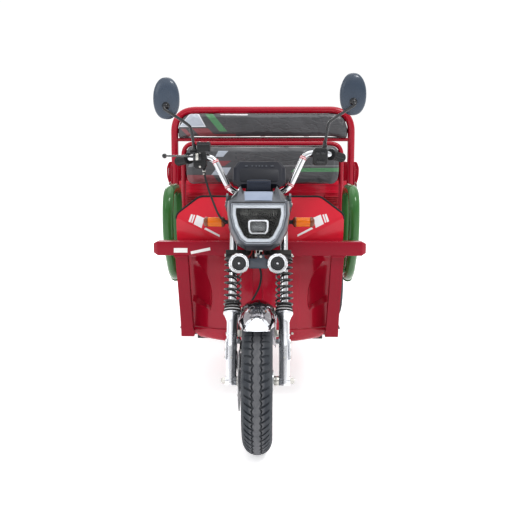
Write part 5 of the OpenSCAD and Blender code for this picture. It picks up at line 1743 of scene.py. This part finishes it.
def mirrors():
    for s in (-1, 1):
        sh, glass, stem, joint_ = [], [], [], []
        def egg(k, dz=0.0):
            """Outline of the shell: a large circle above a small one... scaled by k."""
            pts = []
            n = 48
            c = 1146.5 + dz
            for i in range(n):
                a = 2 * math.pi * i / n
                u, w = math.cos(a), math.sin(a)
                hw = 45.0 * (1.0 - 0.13 * max(0.0, w) ** 1.5 - 0.05 * max(0.0, -w) ** 2)
                x = hw * (abs(u) ** 0.80) * (1 if u > 0 else -1)
                z = (70.5 if w > 0 else 70.0) * (abs(w) ** 0.86) * (1 if w > 0 else -1)
                pts.append((x * k, c + z * k))
            return pts
        rings = []
        for k, l in ((0.40, 286.8), (0.62, 288.0), (0.80, 291.0), (0.92, 295.4), (0.985, 301.0), (1.0, 306.0), (1.0, 309.6), (0.985, 311.4), (0.94, 311.6), (0.93, 309.6), (0.88, 309.4)):
            lean = 0.0
            row = []
            for x, z in egg(k):
                crease = 0.0
                row.append((s * 317 + x, l, z))
            rings.append(row)
        v, f = loft(rings)
        # the face folds along a vertical line
        out = []
        for x, l, z in v:
            d = abs((x - s * 317) + (z - 1150) * 0.10 * s)
            if l < 300:
                l = l + min(3.2, d * 0.10) * (300 - l) / 14.0
            out.append((x, l, z))
        sh.append((out, f))
        make("mirror_shell_" + ("l" if s < 0 else "r"), skewed(join(*sh), s), "fork", MIRROR_SLATE, "mirrors" if s < 0 else (), angle=34)
        g = [(s * 317 + x, 310.4, z) for x, z in egg(0.885)]
        g2 = [(s * 317 + x, 309.0, z) for x, z in egg(0.885)]
        make("mirror_glass_" + ("l" if s < 0 else "r"), skewed(loft([g, g2]), s), "fork", GLASS_MIRROR)
        pts = [(s * 224, 310, 968.1), (s * 226, 309, 990), (s * 234, 302, 1042), (s * 246, 296, 1060), (s * 292, 276, 1091), (s * 318, 268, 1108), (s * 319, 274, 1116), (s * 317, 286, 1120)]
        path = smooth_path(pts, 7)
        stem.append(tube(path, 5.0, (0, 1, 0), 16))
        joint_.append(revolve([(0, 0), (8.4, 0), (8.8, 1), (8.8, 9), (7.4, 11), (6.2, 20), (5.2, 26), (0, 26)], 24, (s * 224, 310, 966), (0, 0, 1)))
        joint_.append(ball((s * 317.5, 284, 1120), 9.4, 20))
        joint_.append(revolve([(0, 0), (13, 0), (13.6, 1), (11.6, 5), (9, 8), (0, 9)], 28, (s * 317, 290.5, 1121), (0, -1, 0)))
        make("mirror_stem_" + ("l" if s < 0 else "r"), skewed(join(*stem, *joint_), s), "fork", PLASTIC_GLOSS)


mirrors()


# ---------------------------------------------------------------- tyres
def tyre(name, center, body, mat, node, seed):
    """Motorcycle tyre: zigzag middle rib, side blocks, shoulders and ringed walls."""
    pitches = 58
    cols = (0.0, 0.20, 0.26, 0.58, 0.93)
    rg = random.Random(seed)
    half = [(0.0, "rib"), (4.5, "rib"), (9.4, "ribz"), (10.3, "groove"), (13.8, "groove"), (14.9, "blockz"), (19.0, "block"), (24.5, "block"), (29.5, "block"),
            (33.5, "block"), (36.5, "edge"), (38.4, "plain"), (41.0, "plain"), (43.4, "plain"), (45.2, "plain")]
    wall = [(45.8, 186.0), (46.4, 184.8), (46.6, 182.0), (46.2, 179.8), (45.6, 177.6), (45.8, 176.4), (45.2, 174.8), (44.2, 172.6), (43.6, 171.6), (43.8, 170.4),
            (42.8, 168.0), (41.2, 165.8), (38.6, 164.9), (36.4, 164.4), (35.9, 163.0), (35.9, 153.0)]
    rows = []
    n = pitches * len(cols)
    tri = (0.0, 0.35, 0.50, 1.0, 0.42)
    for i in range(n):
        k = i % len(cols)
        p = i // len(cols)
        base = (p + cols[k]) / pitches
        ring = []
        def point(x, r, shift):
            a = 2 * math.pi * (base + shift / pitches)
            return (x, r * math.sin(a), r * math.cos(a))
        side = []
        for x, kind in half:
            z = (tri[k] - 0.5) * 5.6 if kind in ("ribz", "groove", "blockz") else 0.0
            xx = x + z
            r = 182.0 + math.sqrt(max(0.0, 46.0 ** 2 - min(xx, 45.99) ** 2))
            depth = 0.0
            sh = 0.0
            if kind == "groove":
                depth = 5.0
            elif kind in ("block", "blockz"):
                depth = 4.6 if k in (0, 1) else 0.0
                sh = (xx - 15) / 22.0 * 0.42
            elif kind == "edge":
                depth = 2.0 if k in (0, 1) else 0.0
                sh = 0.45
            elif kind == "plain":
                sh = 0.46
            elif kind in ("rib", "ribz") and abs(x) > 1:
                # short sipes in the rib are switched off: the depth stays 0
                depth = 2.2 if (k in (3,) and False) else 0.0
            r -= depth
            side.append((xx, r, sh))
        for x, r in wall:
            side.append((x, r, 0.46))
        left = [point(-x, r, sh + 0.5 if x > 12 else sh) for x, r, sh in side[::-1]]
        right = [point(x, r, sh) for x, r, sh in side[1:]]
        # both sides keep the same count; the half-pitch offset above is overwritten, so the pattern is not offset
        # between sides
        left = [point(-x, r, sh) for x, r, sh in side[::-1]]
        rows.append(left + right)
    m = len(rows[0])
    verts = [(center[0] + x, center[1] + y, center[2] + z) for r in rows for x, y, z in r]
    faces = []
    for i in range(n):
        a, b = i * m, ((i + 1) % n) * m
        for j in range(m - 1):
            faces.append((a + j, a + j + 1, b + j + 1, b + j))
        faces.append((a + m - 1, a, b, b + m - 1))
    make(name, (verts, faces), body, mat, node, angle=28)


tyre("front_tyre_tread", (0, 0, 245), "front_wheel", worn_tyre("front_tyre_rubber", (0.0, 0.0)), "front_tyre", 1)
for s_, nm in ((-1, "left"), (1, "right")):
    tyre("rear_tyre_tread_" + nm, (s_ * 390, 1940, 245), "rear_wheel_" + nm, worn_tyre("rear_tyre_rubber_" + nm, (1940.0, 0.0)), "rear_tyre_" + nm, 2)


def wheel_parts():
    # front: disc bolts and valve
    f = []
    for k in range(6):
        a = math.radians(60 * k + 30)
        f.append(hex_bolt((-60.2, 46 * math.sin(a), 245 + 46 * math.cos(a)), (-1, 0, 0), 4.4, 3.2))
    f.append(rod((12, 0, 245 + 140), (15, 0, 245 + 116), 3.2, 14, 1.0))
    make("front_wheel_bolts", join(*f), "front_wheel", ZINC)
    cap = rod((15, 0, 245 + 117), (16.2, 0, 245 + 108), 3.9, 14, 1.0)
    make("front_valve_cap", cap, "front_wheel", RUBBER)
    for s in (-1, 1):
        nm = "left" if s < 0 else "right"
        b = []
        for k in range(5):
            a = math.radians(72 * k + 10)
            b.append(hex_bolt((s * (390 + 4.2), 1940 + 66 * math.sin(a), 245 + 66 * math.cos(a)), (s, 0, 0), 7.0, 8.0))
        b.append(rod((s * (390 + 8), 1940, 245 + 140), (s * (390 + 13), 1940, 245 + 116), 3.2, 14, 1.0))
        make("rear_wheel_bolts_" + nm, join(*b), "rear_wheel_" + nm, ZINC)


wheel_parts()


# ---------------------------------------------------------------- cushions
def bake(ob):
    dg = bpy.context.evaluated_depsgraph_get()
    me = bpy.data.meshes.new_from_object(ob.evaluated_get(dg), preserve_all_data_layers=True, depsgraph=dg)
    ob.modifiers.clear()
    old = ob.data
    ob.data = me
    bpy.data.meshes.remove(old)


def folds(x, y, z, seed, angle, amp):
    """Height of the creases in the cover, in millimetres."""
    u = x * math.cos(angle) + z * math.sin(angle)
    v = -x * math.sin(angle) + z * math.cos(angle)
    warp = noise.noise(Vector((u * 4.0, v * 4.0, seed + y * 3.0))) * 0.05
    a = noise.noise(Vector((u * 3.2, (v + warp) * 21.0, seed * 1.7 + y * 6.0)))
    b = noise.noise(Vector((u * 7.0 + 9.0, (v + warp) * 40.0, seed * 0.9 - y * 8.0)))
    c = noise.noise(Vector((u * 2.0, v * 5.0, seed + 4.0)))
    ridge = (1.0 - abs(a)) ** 7 * 0.8 + (1.0 - abs(b)) ** 9 * 0.35
    return amp * (ridge * (0.35 + 0.65 * max(0.0, c + 0.3)) + 0.35 * c)


def soft(name, geo, body, mat, node, cap, voxel, back, seed, angle, amp):
    """Padded piece: a slightly small core, blown up by the cloth solver."""
    ob = make(name, geo, body, mat, node, angle=180)
    core = [(min(v.co[k] for v in ob.data.vertices), max(v.co[k] for v in ob.data.vertices)) for k in range(3)]
    rm = ob.modifiers.new("remesh", "REMESH")
    rm.mode = "VOXEL"
    rm.voxel_size = voxel / 1000
    rm.use_smooth_shade = True
    bake(ob)
    rest = [v.co.copy() for v in ob.data.vertices]
    c = ob.modifiers.new("cloth", "CLOTH")
    s = c.settings
    s.quality = 5
    s.mass = 0.3
    s.tension_stiffness = 18
    s.compression_stiffness = 18
    s.shear_stiffness = 6
    s.bending_stiffness = 0.6
    s.use_pressure = True
    s.uniform_pressure_force = 4.0
    s.effector_weights.gravity = 0.0
    c.point_cache.frame_start = 1
    c.point_cache.frame_end = 20
    for f in range(1, 21):
        bpy.context.scene.frame_set(f)
    bake(ob)
    bpy.context.scene.frame_set(1)
    me = ob.data
    nor = [v.normal.copy() for v in me.vertices]
    far = 0.0
    for i, v in enumerate(me.vertices):
        d = v.co - rest[i]
        if d.length > cap / 1000:
            d = d.normalized() * cap / 1000
        far = max(far, d.length)
        p = rest[i] + d
        p = p + nor[i] * (folds(p.x, p.y, p.z, seed, angle, amp) / 1000)
        v.co = back(p, rest[i])
    sub = ob.modifiers.new("subdivision", "SUBSURF")
    sub.levels = 1
    sub.render_levels = 1
    bake(ob)
    # the cover is drawn out to its full size over the two long sides
    vs = ob.data.vertices
    for k in sorted(range(3), key=lambda k: core[k][0] - core[k][1])[:2]:
        lo, hi = min(v.co[k] for v in vs), max(v.co[k] for v in vs)
        a, b = core[k][0] - cap * 0.0006, core[k][1] + cap * 0.0006
        for v in vs:
            v.co[k] = a + (v.co[k] - lo) * (b - a) / (hi - lo)
    for p in ob.data.polygons:
        p.use_smooth = True
    return ob


CHARCOAL = (0.070, 0.072, 0.078)
PALE = (0.42, 0.46, 0.52)
PALE_EDGE = (0.62, 0.64, 0.68)
LEAF = (0.085, 0.235, 0.115)
BRICK = (0.235, 0.065, 0.075)
DUSK = (0.155, 0.055, 0.068)
THIN = (0.20, 0.205, 0.215)


def cushions():
    # headboard pad
    pad_mat = vinyl("headboard_vinyl", [
        ([(-400, 1074), (-346, 1138), (-304, 1138), (-269, 1074)], PALE_EDGE),
        ([(-392, 1078), (-345, 1133), (-309, 1133), (-276, 1078)], PALE),
        ([(-277, 1138), (-239, 1138), (-168, 1053), (-205, 1053)], LEAF),
        ([(-336, 1068), (-261, 1068), (-232, 1041), (-309, 1041)], BRICK),
        ([(-312, 1041), (-126, 1041), (-132, 1031), (-302, 1031)], BRICK),
        ([(-392, 1066), (-366, 1066), (-337, 1032), (-358, 1032)], (0.26, 0.10, 0.11)),
        ([(-210, 1140), (-68, 1140), (-72, 1128), (-198, 1130)], (0.62, 0.63, 0.65)),
    ])
    top = round_poly([(-399, 1027), (399, 1027), (399, 1133), (-399, 1133)], 10, 4)
    arcs = []
    for s, c0 in ((1, 0), (-1, 1)):
        pass
    k = 10
    pts = [(-399, 1030), (-396, 1027), (396, 1027), (399, 1030)]
    for i in range(k + 1):
        t = i / k
        pts.append(bez((399, 1046), (399, 1133), (312, 1133), t))
    for i in range(k + 1):
        t = i / k
        pts.append(bez((-312, 1133), (-399, 1133), (-399, 1046), t))
    geo = front_plate(pts, 1328.5, 1362.0, 7, 3)

    def lim_head(p, r):
        q = p.copy()
        q.y = min(q.y, (1363.6 - Y0) / 1000)
        q.y = max(q.y, (1318.5 - Y0) / 1000)
        q.z = min(max(q.z, (1022.6 - SINK) / 1000), (1137.6 - SINK) / 1000)
        q.x = min(max(q.x, -0.4045), 0.4045)
        return q
    soft("headboard_pad_cover", geo, "chassis", pad_mat, "headboard_pad", 7.0, 5.0, lim_head, 3.0, math.radians(-24), 2.6)
    # backrest cushion
    back_mat = vinyl("backrest_vinyl", [
        ([(-213, 935), (-199, 962), (-153, 962), (-177, 935)], PALE),
        ([(-223, 917), (-141, 917), (-170, 894), (-223, 894)], BRICK),
        ([(-232, 853), (-206, 887), (-141, 887), (-161, 853)], PALE),
        ([(-352, 873), (-240, 878), (-232, 866), (-201, 853), (-120, 853), (-120, 818), (-352, 818)], BRICK),
        ([(128, 868), (152, 885), (352, 885), (352, 868)], LEAF),
        ([(91, 892), (95, 896.5), (352, 896.5), (352, 892)], THIN),
        ([(40, 880), (66, 897), (70, 897), (44, 880)], THIN),
        ([(-330, 906), (-302, 906), (-318, 889), (-338, 889)], THIN),
    ])
    pts2 = round_poly([(-345, 817), (345, 817), (345, 979), (-345, 979)], 42, 7)
    geo2 = front_plate(pts2, 1147, 1184, 9, 3)

    def lim_back(p, r):
        q = p.copy()
        q.y = min(q.y, (1185.8 - Y0) / 1000)
        q.y = max(q.y, (1137.5 - Y0) / 1000)
        q.z = min(max(q.z, (811.0 - SINK) / 1000), (985.0 - SINK) / 1000)
        q.x = min(max(q.x, -0.3515), 0.3515)
        return q
    soft("backrest_cover", geo2, "chassis", back_mat, "backrest_cushion", 9.0, 5.0, lim_back, 11.0, math.radians(-14), 2.8)
    # seat
    seat_mat = vinyl("seat_vinyl", [])
    pts3 = round_poly([(-296, 780), (296, 780), (296, 1142), (-296, 1142)], 30, 6)
    geo3 = top_plate(pts3, 642.5, 692, 10, 3)

    def lim_seat(p, r):
        q = p.copy()
        q.z = max(q.z, (640.3 - SINK) / 1000)
        q.z = min(q.z, (703.5 - SINK) / 1000)
        q.x = min(max(q.x, -0.3035), 0.3035)
        q.y = min(max(q.y, (772.5 - Y0) / 1000), (1149.5 - Y0) / 1000)
        return q
    soft("seat_cover", geo3, "seat_lid", seat_mat, "seat_cushion", 10.0, 6.5, lim_seat, 23.0, math.radians(60), 2.0)
    # piping along the seams
    hp = [(x, 1360.8, z) for x, z in [(p[0] * 0.9985, 1080 + (p[1] - 1080) * 0.985) for p in pts]]
    piping = tube([(x * 1.007, l, 1080 + (z - 1080) * 1.045) for x, l, z in hp], 2.1, (0, 1, 0), 8, loop=True)
    bp_ = [(x * 1.009, 1182.0, 898 + (z - 898) * 1.035) for x, z in pts2]
    sp_ = [(x * 1.015, 961 + (y - 961) * 1.022, 644.5) for x, y in pts3]
    sp2 = [(x * 0.995, 961 + (y - 961) * 0.995, 694.0) for x, y in pts3]
    make("pad_piping", join(piping, tube(bp_, 2.3, (0, 1, 0), 8, loop=True)), "chassis", PIPING)
    make("seat_piping", join(tube(sp_, 2.3, (0, 0, 1), 8, loop=True)), "seat_lid", PIPING)


def bez(a, p, b, t):
    return tuple(a[i] * (1 - t) ** 2 + 2 * p[i] * t * (1 - t) + b[i] * t * t for i in range(2))


cushions()


# ---------------------------------------------------------------- chassis and rear details
def rear_details():
    ub, nuts = [], []
    for s in (-1, 1):
        for l in (1916, 1964):
            pts = [(s * 186.6, l, 226), (s * 186.6, l, 333), (s * 243.4, l, 333), (s * 243.4, l, 226)]
            ub.append(tube(route(pts, 12, 6), 5.0, (0, 1, 0), 14))
            for x in (186.6, 243.4):
                nuts.append(hex_bolt((s * x, l, 236), (0, 0, -1), 8.0, 8.0))
        for e in (-380, 380):
            z = 285 + 644 - math.sqrt(620 ** 2 - 380 ** 2) - 2
            nuts.append(hex_bolt((s * 238, 1940 + e, z), (s, 0, 0), 8.5, 7))
            nuts.append(hex_bolt((s * 192, 1940 + e, z), (-s, 0, 0), 8.5, 6))
        # spring clips round the leaves
        for e in (-190, 190):
            z = 285 + 644 - math.sqrt(616 ** 2 - 190 ** 2)
            nuts.append(rbox(min(s * 189.5, s * 240.5), max(s * 189.5, s * 240.5), 1940 + e - 9, 1940 + e + 9, z - 17, z + 7.5, 2, 0.6))
    make("spring_u_bolts", join(*ub), "chassis", ZINC)
    # differential housing bolts, drain plug, breather
    for s in (-1, 1):
        for k in range(10):
            a = 2 * math.pi * k / 10 + 0.2
            nuts.append(hex_bolt((s * 60, 1940 + 84 * math.cos(a), 245 + 84 * math.sin(a)), (s, 0, 0), 6.0, 5.0))
        nuts.append(revolve([(30.2, 0), (36, 0), (38, 2), (38, 10), (36, 12), (30.2, 12)], 36, (s * 262, 1940, 245), (s, 0, 0), closed=True))
    nuts.append(hex_bolt((0, 1985, 245 + 82), (0, 0.5, 0.86), 7.5, 8))
    nuts.append(hex_bolt((20, 1960, 245 - 94), (0, 0.1, -1), 8, 6))
    make("axle_fasteners", join(*nuts), "chassis", ZINC)
    # motor: cooling ribs, end cover with screws, cable gland and three phase wires
    fins = []
    for i in range(13):
        l = 1684 + i * 10
        fins.append(revolve([(77.6, 0), (82.0, 0.4), (82.4, 1.6), (82.0, 2.8), (77.6, 3.2)], 56, (0, l, 245), (0, 1, 0), closed=True))
    cover = revolve([(0, -7), (22, -7), (24, -5), (24, -2), (60, -2), (72, 0), (79.5, 4), (80, 8), (80, 16), (77.4, 18), (0, 18)], 56, (0, 1660, 245), (0, 1, 0))
    make("motor_ribs", join(*fins, cover), "chassis", MOTOR)
    ms = []
    for k in range(6):
        a = 2 * math.pi * k / 6 + 0.4
        ms.append(revolve([(0, 0), (4.6, 0), (4.6, 3.2), (2.6, 4.0), (2.2, 2.4), (0, 2.4)], 16, (66 * math.cos(a), 1660.4, 245 + 66 * math.sin(a)), (0, -1, 0)))
    make("motor_screws", join(*ms), "chassis", ZINC)
    gl = [revolve([(0, 0), (15, 0), (16, 1), (16, 10), (12, 13), (12, 20), (0, 20)], 24, (44, 1700, 245 + 60), (0.25, 0, 1))]
    make("motor_gland", join(*gl), "chassis", PLASTIC)
    for n, (dx, mat) in enumerate(((-6, WIRE_RED), (0, WIRE_WHITE), (6, RUBBER))):
        pts = [(48 + dx, 1700, 320), (52 + dx, 1692, 352), (60 + dx, 1640, 400), (80 + dx, 1520, 470), (96 + dx, 1400, 480), (100 + dx, 1330, 482)]
        make("phase_wire_%d" % n, tube(smooth_path(pts, 7), 2.8, (1, 0, 0), 10), "chassis", mat)


rear_details()


def lights():
    for s in (-1, 1):
        nm = "l" if s < 0 else "r"
        def pane(a, b, z0=506, z1=554):
            x0, x1 = sorted((s * a, s * b))
            return rbox_front(x0, x1, z0, z1, 2608.6, 2612.6, 4)
        make("tail_pane_red_" + nm, pane(276, 330), "chassis", RED_LENS, angle=30)
        make("tail_pane_amber_" + nm, pane(333, 360), "chassis", AMBER, angle=30)
        make("tail_pane_clear_" + nm, pane(363, 390), "chassis", LENS_THICK, angle=30)
        ribs = [rbox_front(min(s * x, s * (x + 1.6)), max(s * x, s * (x + 1.6)), 508, 552, 2612.2, 2613.4, 0.5) for x in (289, 302, 315, 342, 351, 372, 381)]
        make("tail_ribs_" + nm, join(*ribs), "chassis", RED_LENS)
        scr = [revolve([(0, 0), (3.2, 0), (3.2, 1.4), (1.6, 2), (0, 1.2)], 14, (s * x, 2610, z), (0, 1, 0)) for x in (273, 393) for z in (530,)]
        make("tail_screws_" + nm, join(*scr), "chassis", ZINC)
        refl = revolve([(0, 0), (26, 0), (27, 1), (27, 4), (25.5, 5), (23.5, 5), (23, 4.2), (0, 4.6)], 40, (s * 300, 2627.6, 420), (0, 1, 0))
        make("rear_reflector_" + nm, refl, "chassis", RED_LENS)
    pins = []
    for x in (-75, 75):
        pins.append(revolve([(3.4, 0), (7.5, 0), (7.5, 1.6), (3.4, 1.6)], 24, (x, 2629.6, 510), (0, 1, 0), closed=True))
    make("plate_grommets", join(*pins), "chassis", RUBBER)


def rbox_front(x0, x1, z0, z1, l0, l1, r):
    return front_plate(round_poly([(x0, z0), (x1, z0), (x1, z1), (x0, z1)], min(r, (x1 - x0) * 0.45)), l0, l1, 0.5)


lights()


def bed_details():
    rivets = []
    for x in range(-380, 381, 95):
        rivets.append(ball((x, 1340.4, 809), 4.2, 10, 1.0))
    for s in (-1, 1):
        for z in range(640, 880, 60):
            rivets.append(revolve([(0, 0), (5.4, 0), (4.6, 2.4), (2.4, 3.4), (0, 3.6)], 12, (s * 425, 2612, z), (0, 1, 0)))
    make("bed_rivets", join(*rivets), "chassis", RED)
    # tailgate toggle catches on the rear corner posts
    c, b = [], []
    for s in (-1, 1):
        c.append(rbox(min(s * 443, s * 452), max(s * 443, s * 452), 2594, 2608, 800, 866, 3, 1.2))
        c.append(rod((s * 447, 2601, 862), (s * 447, 2601, 884), 4.0, 14, 1.0))
        b.append(hex_bolt((s * 452, 2601, 812), (s, 0, 0), 6, 4))
    # bolts over the sills
    for l in (1400, 1720, 2020, 2320, 2592):
        for x in (-405, -215, 215, 405):
            b.append(hex_bolt((x, l, 600), (0, 0, 1), 5.4, 3.0))
    make("bed_bolts", join(*b), "chassis", ZINC)
    make("post_catches", join(*c), "chassis", RED)


bed_details()


def driver_details():
    # rubber treads on the brake pedal
    pads = []
    ux, uz = 34 / 67.2, 58 / 67.2
    nx, nz = 58 / 67.2, -34 / 67.2
    for i in range(6):
        t = 7 + i * 10.4
        a = (532 + ux * t, 338 + uz * t)
        b = (532 + ux * (t + 5.4), 338 + uz * (t + 5.4))
        poly = [(a[0] - nx * 0.6, a[1] - nz * 0.6), (a[0] + nx * 3, a[1] + nz * 3), (b[0] + nx * 3, b[1] + nz * 3), (b[0] - nx * 0.6, b[1] - nz * 0.6)]
        pads.append(side_plate(poly, -209, -149, 0.5))
    make("pedal_treads", join(*pads), "chassis", RUBBER)
    lock = [revolve([(0, 0), (13, 0), (13.6, 0.8), (13.6, 3.4), (12, 4.4), (9.5, 4.4), (9, 3.6), (0, 3.8)], 32, (0, 800, 590), (0, -1, 0))]
    make("seat_lock", join(*lock), "chassis", ZINC)
    slot = rbox(-1.2, 1.2, 795.6, 797, 584, 596, 0.6, 0.2)
    make("seat_lock_slot", slot, "chassis", PLASTIC)
    # vents in the sides of the seat box over the battery
    v = []
    for s in (-1, 1):
        for i in range(6):
            z = 380 + i * 20
            v.append(side_plate(round_poly([(960, z), (1070, z), (1070, z + 8), (960, z + 8)], 3.5), min(s * 299.4, s * 301.6), max(s * 299.4, s * 301.6), 0.6))
    make("box_vents", join(*v), "chassis", BLACK)
    f = []
    for x in (-250, -90, 90, 250):
        for l in (480, 786):
            f.append(hex_bolt((x, l, 306), (0, 0, 1), 5.4, 2.6))
    make("floor_bolts", join(*f), "chassis", ZINC)
    # stop for the tray of wires under the seat: battery lid ribs and a red lead
    t = [rbox(-186 + i * 76, -118 + i * 76, 836, 1094, 518, 524, 4, 1.4) for i in range(5)]
    make("battery_caps", join(*t), "chassis", BATTERY)
    lead = [tube(smooth_path([(-150, 900, 526), (-150, 905, 546), (-110, 930, 556), (-70, 930, 546), (-66, 930, 526)], 8), 4, (1, 0, 0), 12)]
    make("battery_lead_red", join(*lead), "chassis", WIRE_RED)


driver_details()


bpy.context.view_layer.update()
